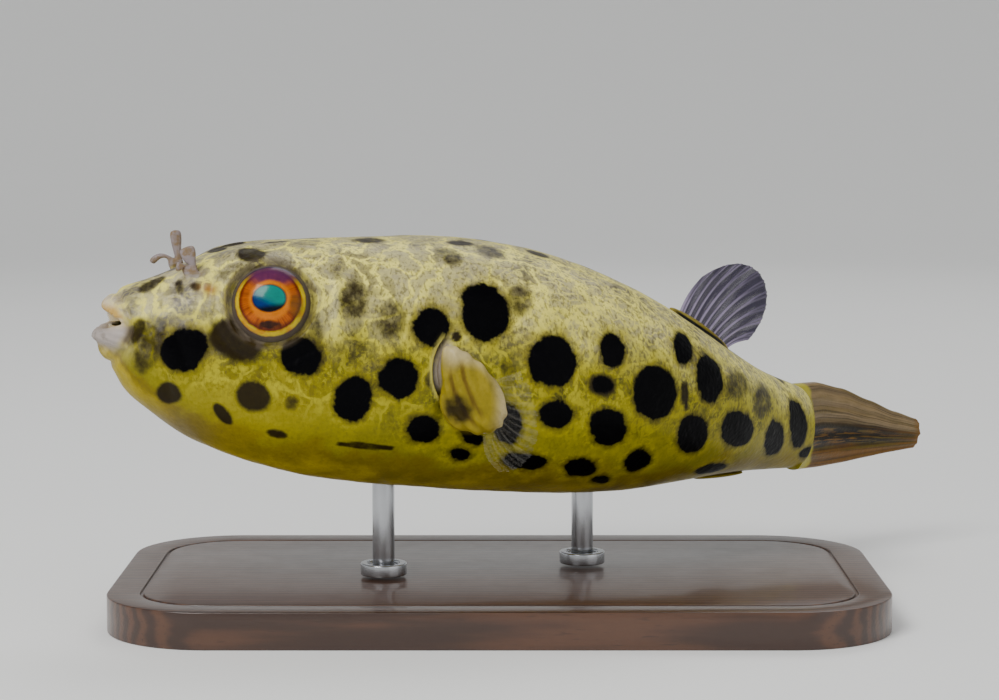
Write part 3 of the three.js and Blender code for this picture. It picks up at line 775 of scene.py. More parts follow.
def refine_skin(skin):
    """Sculpts the gill slits, folds and unevenness into the dense skin, and stores what materials need."""
    points, normals = points_of(skin), normals_of(skin)
    marks = {name: get_attribute(skin, name) for name in CAGE_MARKS}
    place, side, height = spine_coordinates(points)
    flesh = 1 - np.clip(marks["lobe"] + marks["feeler"] + marks["ridge"], 0, 1)
    lip, outside = marks["lip"], 1 - marks["mouth"]
    body = flesh * (1 - marks["eye_rim"]) * (1 - lip) * outside

    distance, beside = gill_share(place, height)
    beside = beside * flesh * (np.abs(side) > 7)
    move = 0.1 * np.sin((distance + 0.4) * 9) * bell(distance + 0.95, 0.55)
    for ahead, depth, width in GILL_FOLDS:
        move += depth * bell(distance - ahead, width)
    move *= beside

    # A crease runs down and back from each corner of the mouth, with a fuller cheek behind it.
    crease = (place + 36.2) - 0.35 * (18.4 - height)
    low_face = smooth((19.6 - height) / 2) * smooth((height - 10.5) / 4) * (np.abs(side) > 2.0)
    for ahead, depth, width in FACE_FOLDS:
        move += depth * bell(crease - ahead, width) * low_face * body
    # A groove parts the lips from the snout and the chin, and fine creases cross them.
    move -= 0.30 * bell(lip - 0.28, 0.16) * outside
    over_foot = above_lip_foot(place, height)
    move -= 0.34 * bell(over_foot, 0.45) * smooth((-37.4 - place) / 1.2) * (height < 17.4)
    around = np.arctan2(side, height - 18.7)
    move += 0.035 * np.sin(around * 34) * smooth(lip * 1.6 - 0.4) * outside
    # A faint fold behind and under each eye.
    for eye_side in (-1, 1):
        centre = np.array(on_spine(EYE_PLACE, eye_side * EYE_SIDE, EYE_HEIGHT))
        axis = np.array(eye_axes(eye_side)[1])
        arm = points - centre
        arm -= np.outer(arm @ axis, axis)
        reach = np.linalg.norm(arm, axis=1)
        near = (side * eye_side > 2) * body
        for away, depth, width in EYE_FOLDS:
            move += depth * bell(reach - away, width) * near
    # Furrows run down the lobes of the side fins, one for each ray.
    for lobe_side in (-1, 1):
        p, q, near = lobe_shares(points, lobe_side)
        on_lobe = (marks["lobe"] > 0.6) * near * (side * lobe_side > 0)
        furrows = 0.03 * np.sin(np.arctan2(q, p + 1.2) * 26) - 0.1 * np.sin(lobe_furrow(p, q))
        move += on_lobe * (furrows - 0.3 * bell(np.hypot(p + 0.4, q * 0.7 + 0.1), 0.45))
    # Shallow furrows along the snout's sides and a hollow between the brows.
    move -= 0.35 * bell(place + 30.0, 4.0) * bell(side, 2.6) * (height > 20) * body
    move -= 0.2 * bell(place + 34.2, 1.8) * bell(np.abs(side) - 3.4, 1.2) * (height > 19) * body
    # The tail fin's root stands a little proud.
    move += 0.16 * bell(place - 40.0, 0.8)
    x, y, z = points.T
    for rate, skew, phase, size in WAVES:
        move += size * body * np.sin(rate * (x + skew * z) + phase) * np.sin(rate * (y * 1.3 + z - skew * x))
    points += normals * move[:, None]
    set_points(skin, points)

    below, above = section_value(BOTTOM, place), section_value(TOP, place)
    lips = smooth((over_foot + 0.45) / 0.9) * (smooth((-37.0 - place) / 1.6) * 0.8 + 0.2)
    golden = smooth((height - 19.2) / 0.5) * smooth((21.0 - height) / 0.9)
    over_back = height - above
    wedge = smooth((over_back + 1.3) / 0.5) * smooth((0.95 - over_back) / 0.3)
    wedge *= smooth((place - 19.8) / 0.9) * smooth((27.6 - place) / 0.9)
    store = {
        "place": place,
        "level": (height - below) / (above - below),
        # Painted shade: the gill slit and a fainter fold line behind it are darkened.
        "gill": np.maximum(bell(distance + 0.06, 0.16), 0.35 * bell(distance + 1.05, 0.13)) * beside,
        "gill_rim": bell(distance - 0.38, 0.2) * smooth(beside * 1.5) * flesh,
        # Pale flesh behind the slit, made paler still as painted light against the shade in its hollow.
        "gill_flesh": bell(distance + 0.75, 0.6) * beside,
        "snout": smooth((-25.5 - place) / 7) * smooth((height - 14.5) / 4),
        "forehead": bell(place + 23, 9.0) * smooth((height - 21.5) / 3.5),
        "cheek": bell(place + 27, 8.5) * bell(height - 10.5, 4.2),
        "chin": smooth((-26.5 - place) / 9) * smooth((12.5 - height) / 5),
        "lip_tone": lip * lips,
        "lip_low": smooth(lip * 2 - 0.6) * smooth((18.9 - height) / 0.7) * outside * lips,
        "lip_gold": smooth(lip * 2 - 1) * golden * outside,
        "wedge": wedge * (np.abs(side) < 3.4),
        "nostril": bell(np.hypot(place + 30.3, (height - 22.3) / 0.7), 0.75) * (np.abs(side) > 3),
    }
    for name, values in store.items():
        set_attribute(skin, name, values)
    store_eye_rear(skin, points)
    store_lobe_pattern(skin, points, marks["lobe"])


def store_eye_rear(skin, points):
    """How far behind the eye's middle a point of its rim lies, which sets how much painted shade the rim
    takes there.
    """
    rear = np.zeros(len(points))
    for side in (-1, 1):
        centre, _, back, _ = (np.array(part) for part in eye_axes(side))
        arm = points - centre
        near = np.linalg.norm(arm, axis=1) < EYE_RADIUS + 3
        rear += near * smooth((arm @ back + 0.5) / 3.5)
    set_attribute(skin, "eye_rear", rear)


def store_lobe_pattern(skin, points, lobe):
    """How near a point is to a lobe's rear edge, how deep it is in the lobe's brown spot, and how far it lies
    in a furrow that takes painted shade.
    """
    edge, spot, fold = np.zeros(len(points)), np.zeros(len(points)), np.zeros(len(points))
    for side in (-1, 1):
        p, q, near = lobe_shares(points, side)
        near = near * (lobe > 0.3)
        radius = np.hypot(p, q)
        rear = smooth((p + 0.25 + q * 0.6) / 0.7)
        edge = np.maximum(edge, near * smooth((radius - mix(0.62, 0.35, smooth(q))) / 0.45) * rear)
        spot = np.maximum(spot, near * smooth((1.6 - np.hypot((p + 0.45) * 2.4, (q + 0.24) * 3.2)) / 1.3))
        furrow = smooth(np.sin(lobe_furrow(p, q)) * 1.4 - 0.2) * smooth((0.75 - radius) / 0.3)
        fold = np.maximum(fold, near * furrow * smooth((0.35 - p) / 0.3))
    set_attribute(skin, "lobe_fold", np.minimum(fold, 1))
    set_attribute(skin, "lobe_edge", edge)
    set_attribute(skin, "lobe_spot", spot)


# ---------- markings ----------

VIEW_DISTANCE, VIEW_TILT = 270.0, math.radians(6)
VIEW_AIM = Vector((0, 0, 26))
VIEW_UP = Vector((0, math.sin(VIEW_TILT), math.cos(VIEW_TILT)))
VIEWPOINT = VIEW_AIM + Vector((0, -math.cos(VIEW_TILT), math.sin(VIEW_TILT))) * VIEW_DISTANCE

# The left flank's markings as they look from the viewpoint: millimetres right of and above the aim,
# half length, half height and turn in degrees.
BLACK_SPOTS = (
    (-31.5, 0.0, 1.6, 1.9, 10), (-19.8, -0.7, 1.9, 1.65, 0), (-14.6, -4.9, 1.65, 2.2, -15),
    (-10.1, -2.8, 1.75, 1.85, 0), (-6.8, 2.3, 1.6, 1.8, 0), (-1.5, 3.8, 2.2, 2.8, 10),
    (-7.6, -8.0, 1.55, 1.25, -10), (-2.8, -8.5, 1.25, 0.7, -30), (-4.0, -10.4, 1.1, 0.5, -10),
    (0.8, -7.5, 1.3, 1.9, 0), (5.3, -1.2, 2.25, 2.45, 15), (5.7, -6.5, 1.6, 1.35, 0),
    (11.3, 0.0, 1.15, 1.6, 10), (15.6, -4.3, 2.05, 2.65, 0), (10.9, -7.8, 1.7, 1.85, 30),
    (18.4, 0.3, 0.85, 1.6, 12), (21.1, -2.8, 1.25, 2.35, 8), (19.3, -8.5, 1.45, 1.95, -15),
    (23.9, -8.0, 1.65, 1.75, -20), (27.5, -8.9, 0.95, 1.8, -10), (29.9, -7.4, 0.9, 2.5, 4),
    (30.8, -10.2, 0.9, 0.5, 20), (2.5, -11.2, 2.1, 0.75, -4), (8.1, -11.8, 1.55, 0.85, 0),
    (10.1, -13.0, 0.8, 0.35, 0), (10.3, -3.5, 1.05, 0.8, -15), (13.8, -11.1, 1.35, 0.95, 35),
    (21.2, -11.9, 1.6, 0.5, 10),
)
# The same with a strength: brown and grey patches with soft edges.
SOFT_PATCHES = (
    (-33.0, -4.3, 1.1, 1.0, -30, 0.95), (-24.6, -4.7, 1.7, 1.4, -20, 0.9), (-20.8, -5.3, 0.8, 0.8, 0, 0.5),
    (-27.7, -6.4, 0.6, 1.3, 40, 0.75), (-22.3, -8.4, 1.1, 0.45, -10, 0.6), (-26.4, 0.9, 2.7, 1.9, -25, 0.85),
    (-31.5, 0.0, 2.2, 2.4, 10, 0.3), (-34.8, 6.6, 1.6, 0.5, 30, 0.55), (-36.3, 1.8, 0.8, 1.4, -20, 0.6),
    (-35.0, 0.6, 1.5, 3.0, -15, 0.5), (-37.0, 1.4, 1.2, 1.0, -30, 0.5), (-10.7, 3.0, 1.5, 2.1, 0, 0.5),
    (-14.7, 5.0, 1.7, 2.0, 0, 0.55),
    (-15.0, 0.0, 1.7, 1.7, 0, 0.45), (2.0, 5.0, 1.5, 1.7, 0, 0.5), (10.3, -3.5, 1.5, 1.2, -15, 0.6),
    (23.8, -3.5, 1.3, 1.7, 0, 0.5), (26.4, -5.0, 1.0, 2.0, 0, 0.55), (18.6, -4.5, 0.4, 1.6, 0, 0.7),
    (-6.9, -3.0, 0.45, 0.9, 0, 0.6), (1.0, -2.2, 1.1, 1.7, 0, 0.45), (-4.3, 1.3, 0.5, 0.5, 0, 0.7),
    (-13.4, -9.6, 3.0, 0.35, -5, 0.6), (-28.3, 10.0, 0.9, 0.4, 10, 0.95), (-24.8, 9.6, 1.3, 0.45, 8, 0.95),
    (-5.0, 9.5, 1.6, 0.8, -20, 0.55), (-1.0, 9.9, 1.8, 0.7, -15, 0.5), (-27.0, 8.0, 1.4, 0.7, 30, 0.4),
    (-20.0, 6.0, 0.9, 2.4, 20, 0.45), (-18.3, 1.0, 0.8, 3.0, 10, 0.4), (-32.0, 6.4, 0.5, 0.8, 0, 0.5),
    (-30.4, 6.4, 0.55, 0.5, 0, 0.6),
)
# Markings of the back: place, angle from the back's middle in degrees, and their half sizes along and
# across, with 1 for a black spot or the strength of a soft patch.
BACK_MARKS = (
    (-26.5, 8, 1.2, 0.9, 0.8), (-23.0, -6, 1.5, 0.8, 0.8), (-19.0, 14, 1.6, 1.1, 0.7),
    (-14.0, -10, 1.8, 1.3, 0.6),
    (-9.5, 12, 1.5, 1.6, 1), (-5.0, -14, 1.4, 1.1, 0.7), (-1.5, 6, 1.9, 1.5, 1), (3.0, -12, 1.3, 1.2, 0.7),
    (5.5, 16, 1.5, 1.8, 1), (9.5, -4, 1.8, 1.4, 0.8), (13.5, 18, 1.3, 1.7, 1), (16.5, 0, 1.4, 1.3, 0.8),
    (23.6, -9, 3.3, 0.9, 1), (24.6, 24, 2.2, 0.9, 1), (31.5, 4, 1.5, 1.1, 0.7),
    (35.0, -20, 1.0, 1.3, 0.6), (36.5, 18, 1.2, 1.0, 0.8),
)

MARKS_SEED = 7
SPOT_SHIFT, SPOT_SIZES = 0.7, (0.78, 0.98)  # how the other flank's spots differ in place and size
PATCH_SHIFT = 1.5
MIRROR_SPAN = (RINGS[-1] + 1.5, 39.0)  # the places that a mirrored marking stays between
MARK_DEPTH = 2.2  # how far above or below a marking's plane the skin still takes it
FAR = 9.0  # the distance given to points that a marking doesn't reach
SPOT_REACH = 3.0  # distances from the black spots are kept up to this


def mark_from_view(tree, x, z, long, tall, turn):
    """A marking as its centre on the skin, the skin's normal and the ellipse's two half axes there."""
    target = VIEW_AIM + Vector((x, 0, 0)) + VIEW_UP * z
    sight = (target - VIEWPOINT).normalized()
    centre, normal, _, _ = tree.ray_cast(VIEWPOINT * MM, sight)
    if centre is None:
        raise RuntimeError(f"the marking at {x}, {z} misses the skin")
    angle = math.radians(turn)
    axes = []
    for size, angle_here in ((long, angle), (tall, angle + math.pi / 2)):
        arm = (Vector((1, 0, 0)) * math.cos(angle_here) + VIEW_UP * math.sin(angle_here)) * size
        facing = max(0.3, abs(normal.dot(sight)))
        slide = sight * (-arm.dot(normal) / math.copysign(facing, normal.dot(sight)))
        axes.append(arm + slide)
    return centre / MM, normal, axes[0], axes[1]


def mark_from_place(tree, place, angle, long, wide):
    start = body_point(place, math.radians(angle))
    centre, normal, _, _ = tree.find_nearest(start * MM)
    along = along_spine(place, 1, 0, 0)
    along = (along - normal * along.dot(normal)).normalized()
    return centre / MM, normal, along * long, normal.cross(along) * wide


def mirrored_mark(tree, mark, shift, size):
    """The same marking on the other flank, moved along the body and turned."""
    centre, _, first, second = mark
    (place,), (side,), (height,) = spine_coordinates(np.array([centre]))
    to = min(MIRROR_SPAN[1], max(MIRROR_SPAN[0], place + shift))
    widening = section_value(HALF_WIDTH, to) / section_value(HALF_WIDTH, place)
    bottom, top = section_value(BOTTOM, place), section_value(TOP, place)
    level = (height - bottom) / (top - bottom)
    new_height = mix(section_value(BOTTOM, to), section_value(TOP, to), level)
    start = on_spine(to, -side * widening, new_height)
    new_centre, new_normal, _, _ = tree.find_nearest(start * MM)
    axes = []
    for axis in (first, second):
        direction = float(spine_direction(place))
        back = axis.x * math.cos(direction) + axis.y * math.sin(direction)
        right = axis.y * math.cos(direction) - axis.x * math.sin(direction)
        turned = along_spine(to, back, -right, axis.z) * size
        axes.append(turned - new_normal * turned.dot(new_normal))
    return new_centre / MM, new_normal, axes[0], axes[1]


def distance_to_mark(points, normals, mark):
    """Distance in millimetres outside a marking's edge. It is negative inside."""
    centre, normal, first, second = (np.array(part) for part in mark)
    arm = points - centre
    above = arm @ normal
    flat = arm - np.outer(above, normal)
    matrix = np.array([[first @ first, first @ second], [first @ second, second @ second]])
    shares = np.linalg.solve(matrix, np.stack([flat @ first, flat @ second]))
    share = np.maximum(np.hypot(*shares), 1e-4)
    length = np.linalg.norm(flat, axis=1)
    smallest = min(np.linalg.norm(first), np.linalg.norm(second))
    distance = np.where(share < 0.02, -smallest, length * (1 - 1 / share))
    away = (np.abs(above) > MARK_DEPTH) | (normals @ normal < 0.1)
    return np.where(away, FAR, distance)


def paint_markings(skin):
    """Stores how far each point is from the nearest black spot, and how deep in a soft patch."""
    flat = [tuple(polygon.vertices) for polygon in skin.data.polygons]
    tree = BVHTree.FromPolygons([vertex.co for vertex in skin.data.vertices], flat)
    points, normals = points_of(skin), normals_of(skin)
    flesh = 1 - np.clip(get_attribute(skin, "lobe") + get_attribute(skin, "feeler"), 0, 1)
    chance = np.random.default_rng(MARKS_SEED)
    blacks, softs = [], []
    for x, z, long, tall, turn in BLACK_SPOTS:
        mark = mark_from_view(tree, x, z, long, tall, turn)
        shift = chance.uniform(-SPOT_SHIFT, SPOT_SHIFT)
        blacks += [mark, mirrored_mark(tree, mark, shift, chance.uniform(*SPOT_SIZES))]
    for x, z, long, tall, turn, strength in SOFT_PATCHES:
        mark = mark_from_view(tree, x, z, long, tall, turn)
        softs.append((mark, strength))
        # Patches at the tail and by the back's middle aren't repeated on the other flank.
        if x < 20 and z < 9:
            shift = chance.uniform(-PATCH_SHIFT, PATCH_SHIFT)
            softs.append((mirrored_mark(tree, mark, shift, 1.0), strength))
    for place, angle, long, wide, strength in BACK_MARKS:
        mark = mark_from_place(tree, place, angle, long, wide)
        if strength == 1:
            blacks.append(mark)
        else:
            softs.append((mark, strength))
    spot = np.full(len(points), SPOT_REACH)
    for mark in blacks:
        spot = np.minimum(spot, distance_to_mark(points, normals, mark))
    smudge = np.zeros(len(points))
    for mark, strength in softs:
        distance = distance_to_mark(points, normals, mark)
        smallest = min(mark[2].length, mark[3].length)
        smudge = np.maximum(smudge, strength * smooth(0.5 - distance / (1.1 * smallest)))
    set_attribute(skin, "spot", np.where(flesh > 0.5, spot, SPOT_REACH))
    set_attribute(skin, "smudge", smudge * flesh)


def build_skin(levels):
    cage = Cage()
    pull_body(cage)
    open_eyes(cage)
    raise_ridge(cage, DORSAL, (RINGS.index(28.6), RINGS.index(21.4)), 0)
    raise_ridge(cage, ANAL, (RINGS.index(31.0), RINGS.index(23.8)), COLUMNS // 2)
    raise_lobes(cage)
    leave_edit()
    skin = cage.piece
    subdivide_smoothly(skin, 1)
    grow_feelers(skin)
    subdivide_smoothly(skin, levels - 1)
    outward(skin)
    refine_skin(skin)
    smooth_shaded(skin)
    paint_markings(skin)
    return skin


# ---------- eyes and teeth ----------


def build_eye(name, side):
    """A ball with a raised clear front. Its points keep their place across the iris in millimetres."""
    deselect()
    bpy.ops.mesh.primitive_uv_sphere_add(segments=96, ring_count=64, radius=EYE_RADIUS * MM)
    eye = finished(name)
    centre, axis, back, up = eye_axes(side)
    local = points_of(eye)
    reach = np.hypot(local[:, 0], local[:, 1])
    front = local[:, 2] > 0
    # The clear front is flatter than the ball, with a faint furrow round it.
    dome = -0.16 * bell(reach, 2.2) + 0.05 * bell(reach - 3.0, 0.7) - 0.07 * bell(reach - 3.72, 0.16)
    local *= (1 + front * dome / EYE_RADIUS)[:, None]
    frame_axes = np.array([back, up, axis])
    set_points(eye, local @ frame_axes + np.array(centre))
    set_attribute(eye, "iris_x", local[:, 0])
    set_attribute(eye, "iris_y", local[:, 1])
    outward(eye)
    smooth_shaded(eye)
    return eye


TOOTH_PLATES = {  # lowest and highest edge
    "upper": (18.95, 20.0),
    "lower": (17.6, 18.6),
}
TOOTH_PLACE, TOOTH_HALF_WIDTH, TOOTH_BOW, TOOTH_THICKNESS = -38.1, 2.0, 0.75, 0.6


def build_tooth(name, low, high):
    """A curved beak plate with a fine seam down its middle."""
    deselect()
    bpy.ops.mesh.primitive_cube_add(size=1)
    edit()
    bpy.ops.mesh.select_all(action="SELECT")
    bpy.ops.mesh.subdivide(number_cuts=9)
    leave_edit()
    tooth = finished(name)
    points = points_of(tooth) * MM
    biting = -1 if name.endswith("upper") else 1
    moved = []
    for x, y, z in points:
        bow = TOOTH_BOW * (1 - (2 * y) ** 2)
        thin = 1 - 0.45 * smooth((z * 2 * biting + 0.2) / 1.2)
        seam = 0.07 * math.exp(-((y / 0.02) ** 2))
        height = mix(low, high, z + 0.5) - biting * (0.14 * abs(2 * y) ** 3 + seam)
        place = TOOTH_PLACE - bow + x * TOOTH_THICKNESS * thin + seam
        moved.append(on_spine(place, y * 2 * TOOTH_HALF_WIDTH, height))
    set_points(tooth, np.array(moved))
    subdivide_smoothly(tooth, 1)
    outward(tooth)
    smooth_shaded(tooth)
    return tooth


# ---------- fins ----------


def midline_surface(fin, rays):
    """A point of a midline fin. u runs along its root and v from the root to the edge."""
    first, last, curl, lean = (math.radians(fin[name]) for name in ("first", "last", "curl", "lean"))

    def point(u, v, ray):
        place = mix(fin["start"], fin["end"], u)
        outline = math.sin(math.pi * mix(0.14, 0.91, clamp01(u))) ** 0.8
        outline *= 1 - 0.008 * (1 - ray) * v
        angle = mix(first, last, u) + curl * (0.5 - v / 2)
        length = fin["ray"] * outline * v
        rise = length * math.sin(angle)
        ripple = 0.16 * math.sin(u * rays * math.pi * 0.9 + 0.7) * v * math.sin(math.pi * min(1, v + 0.2))
        offset = along_spine(
            place,
            length * math.cos(angle),
            rise * math.sin(lean) + ripple * math.cos(lean),
            fin["upward"] * (rise * math.cos(lean) - ripple * math.sin(lean)),
        )
        return on_spine(place, 0, fin_base(fin, place)) + offset

    return point


def pectoral_surface(side, rays):
    """A point of a pectoral fin. u runs round the lobe's rear edge and v outwards."""
    lobe_up, lobe_back, _ = pectoral_axes(side, PECTORAL["lobe_flare"])
    fin_up, fin_back, fin_out = pectoral_axes(side, PECTORAL["fin_flare"])
    centre = pectoral_centre(side)
    first, last = math.radians(PECTORAL["first"]), math.radians(PECTORAL["last"])

    def point(u, v, ray):
        angle = mix(first, last, u)
        length = PECTORAL["ray"] * mix(0.82, 1, math.sin(math.pi * clamp01(u))) * v
        length *= 1 - 0.02 * (1 - ray) * v
        ripple = 0.13 * math.sin(u * rays * math.pi * 0.8) * v
        return (
            centre
            + lobe_back * (math.cos(angle) * 0.8 * PECTORAL["half_length"])
            + lobe_up * (math.sin(angle) * 0.8 * PECTORAL["half_height"])
            + fin_back * (math.cos(angle) * length)
            + fin_up * (math.sin(angle) * length * PECTORAL["spread"])
            + fin_out * (PECTORAL["cup"] * math.sin(math.pi * v) + ripple)
        )

    return point


FIN_COLUMNS_PER_RAY, FIN_ROWS = 12, 40
FIN_THICKNESS = 0.34  # of a ray at its root
WEB_SHARE = 0.26  # the web's thickness as a share of that
RAY_TAPER, WEB_TAPER = 0.55, 0.3  # how much of the thickness is lost from root to edge
RIM_WIDTH = 0.35  # of the firm edges at a blade's two ends, as a share of a ray's width


def ray_shape(across, v):
    """How fully a point lies on a ray, which forks past its middle. Across is 0 on the ray, 0.5 between."""
    fork = 0.15 * smooth((v - 0.5) / 0.5)
    width = mix(0.22, 0.12, smooth(v / 0.9))
    return max(math.exp(-(((across - fork) / width) ** 2)), math.exp(-(((across + fork) / width) ** 2)))


def build_blade(name, surface, rays):
    """A thin fin with modelled rays, from a grid given its form and then its thickness."""
    deselect()
    columns = rays * FIN_COLUMNS_PER_RAY
    bpy.ops.mesh.primitive_grid_add(x_subdivisions=columns, y_subdivisions=FIN_ROWS, size=2)
    blade = finished(name)
    flat = points_of(blade) * MM
    u, v = (flat[:, 0] + 1) / 2, (flat[:, 1] + 1) / 2
    shape = np.array([ray_shape((a * rays) % 1 - 0.5, b) for a, b in zip(u, v)])
    rim = np.maximum(bell(u, RIM_WIDTH / rays), bell(u - 1, RIM_WIDTH / rays))
    shape = np.maximum(shape, rim)
    set_points(blade, np.array([surface(a, b, ray) for a, b, ray in zip(u, v, shape)]))
    set_attribute(blade, "ray", shape)
    set_attribute(blade, "span", u)
    set_attribute(blade, "reach", v)
    group = blade.vertex_groups.new(name="thickness")
    taper = 1 - RAY_TAPER * v
    for index, weight in enumerate(np.maximum(shape * taper, WEB_SHARE * (1 - WEB_TAPER * v))):
        group.add([index], float(weight), "REPLACE")
    wall = blade.modifiers.new("Thickness", "SOLIDIFY")
    wall.thickness = FIN_THICKNESS * MM
    wall.offset = 0
    wall.vertex_group = "thickness"
    apply_modifiers(blade)
    outward(blade)
    smooth_shaded(blade)
    return blade


def at_share(values, t):
    at = clamp01(t) * (len(values) - 1)
    i = min(len(values) - 2, int(at))
    return mix(values[i], values[i + 1], float(smooth(at - i)) * 0.3 + (at - i) * 0.7)


CAUDAL_SIDES, CAUDAL_RINGS = 20, 18
CAUDAL_FOLDS = 6  # rays that show on each side of the closed fin


def build_tail_fin():
    """The closed tail fin: a tapering brush of rays, extruded ring by ring and then creased."""
    deselect()
    bpy.ops.mesh.primitive_circle_add(
        vertices=CAUDAL_SIDES, radius=MM, fill_type="NGON", rotation=(0, math.pi / 2, 0)
    )
    fin = finished("caudal_fin_closed")
    edit("FACE")
    bpy.ops.mesh.select_all(action="SELECT")
    for _ in range(CAUDAL_RINGS):
        extrude(x=MM)
    leave_edit()
    subdivide_smoothly(fin, 2)
    flat = points_of(fin)
    length = flat[:, 0].max() - flat[:, 0].min()
    t = (flat[:, 0] - flat[:, 0].min()) / length
    ring_reach = np.hypot(flat[:, 1], flat[:, 2])
    share = np.minimum(1, ring_reach / ring_reach.max() / 0.72)
    turn = np.arctan2(flat[:, 1], flat[:, 2])
    moved, fold, height_share = [], [], []
    for a, b, c in zip(t, share, turn):
        top, bottom = at_share(CAUDAL_TOP, a), at_share(CAUDAL_BOTTOM, a)
        thick = mix(*CAUDAL_THICKNESS, a**0.6)
        rise = math.cos(c)
        ray = math.cos(math.pi * (rise + 1) / 2 * CAUDAL_FOLDS * 2) * 0.5 + 0.5
        crease = (0.26 * (1 - a) + 0.10) * smooth(a / 0.12) * (1 - ray) * min(1.0, abs(math.sin(c)) * 2.0)
        across = math.sin(c) * abs(math.sin(c)) ** -0.25 if abs(math.sin(c)) > 1e-3 else 0.0
        side = across * max(0.12, thick / 2 - crease) * b
        ragged = 0.1 * math.sin(rise * 9.0 + 1.0) * smooth((a - 0.8) / 0.2)
        wave = 0.35 * math.sin(a * 4.2 + rise * 2.2) * smooth(a / 0.5)
        place = CAUDAL_ROOT - 0.9 + a * (CAUDAL_LENGTH + 0.7) + ragged - 0.35
        level = (rise * b + 1) / 2
        moved.append(on_spine(place, side + wave, mix(bottom, top, level)))
        fold.append(ray)
        height_share.append(level)
    set_points(fin, np.array(moved))
    set_attribute(fin, "ray", fold)
    set_attribute(fin, "reach", t)
    set_attribute(fin, "rise", height_share)
    outward(fin)
    smooth_shaded(fin)
    return fin


# ---------- stand ----------

BASE_CORNER, BASE_EASE = 10.4, 0.45
SHARP_ANGLE, SHADE_ANGLE = 50, 35  # edges sharper than this are rounded, and flatter than this shade smooth
LINE_INSET, LINE_SLOPE, LINE_DEPTH, LINE_WIDTH = 3.1, 0.12, 0.3, 0.35  # of the line round the base's top


def eased(piece, width):
    """Rounds a piece's edges and shades it, as the last step of each piece of the stand."""
    ease = piece.modifiers.new("Eased edges", "BEVEL")
    ease.width = width
    ease.segments = 3
    ease.limit_method = "ANGLE"
    ease.angle_limit = math.radians(SHARP_ANGLE)
    apply_modifiers(piece)
    outward(piece)
    smooth_shaded(piece, SHADE_ANGLE)
    return piece


def build_base():
    """The stand's base: a plate with round corners, an eased edge and a fine line round its top."""
    low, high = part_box("stand_base")
    size, middle = high - low, (low + high) / 2
    deselect()
    bpy.ops.mesh.primitive_cube_add(size=1, location=middle)
    bpy.context.active_object.scale = size
    base = finished("base_plate")
    edit("EDGE")
    select_parts(base, "edges", lambda edge: abs(edge.verts[0].co.z - edge.verts[1].co.z) > 1e-4)
    bpy.ops.mesh.bevel(offset=BASE_CORNER * MM, segments=14)
    bpy.ops.mesh.select_mode(type="FACE")
    choose_top(base, high.z)
    bpy.ops.mesh.inset(thickness=LINE_INSET * MM)
    bpy.ops.mesh.inset(thickness=LINE_SLOPE * MM)
    extrude(z=-LINE_DEPTH * MM)
    bpy.ops.mesh.inset(thickness=LINE_WIDTH * MM)
    extrude(z=LINE_DEPTH * MM)
    leave_edit()
    return eased(base, BASE_EASE * MM)


def choose_top(piece, height):
    def on_top(face):
        return face.normal.z > 0.9 and abs(face.calc_center_median().z - height) < 1e-5

    select_parts(piece, "faces", on_top)


def build_upright(name, node, ease_width, lip=0.0):
    """A round rod or collar in the place of its solid, with eased edges."""
    low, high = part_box(node)
    radius = (high.x - low.x) / 2
    deselect()
    bpy.ops.mesh.primitive_cylinder_add(
        vertices=64, radius=radius, depth=high.z - low.z, location=(low + high) / 2, end_fill_type="NGON"
    )
    piece = finished(name)
    edit("FACE")
    choose_top(piece, high.z)
    bpy.ops.mesh.inset(thickness=radius * 0.3)
    if lip:
        extrude(z=-lip)
    leave_edit()
    return eased(piece, ease_width)


# ---------- materials ----------


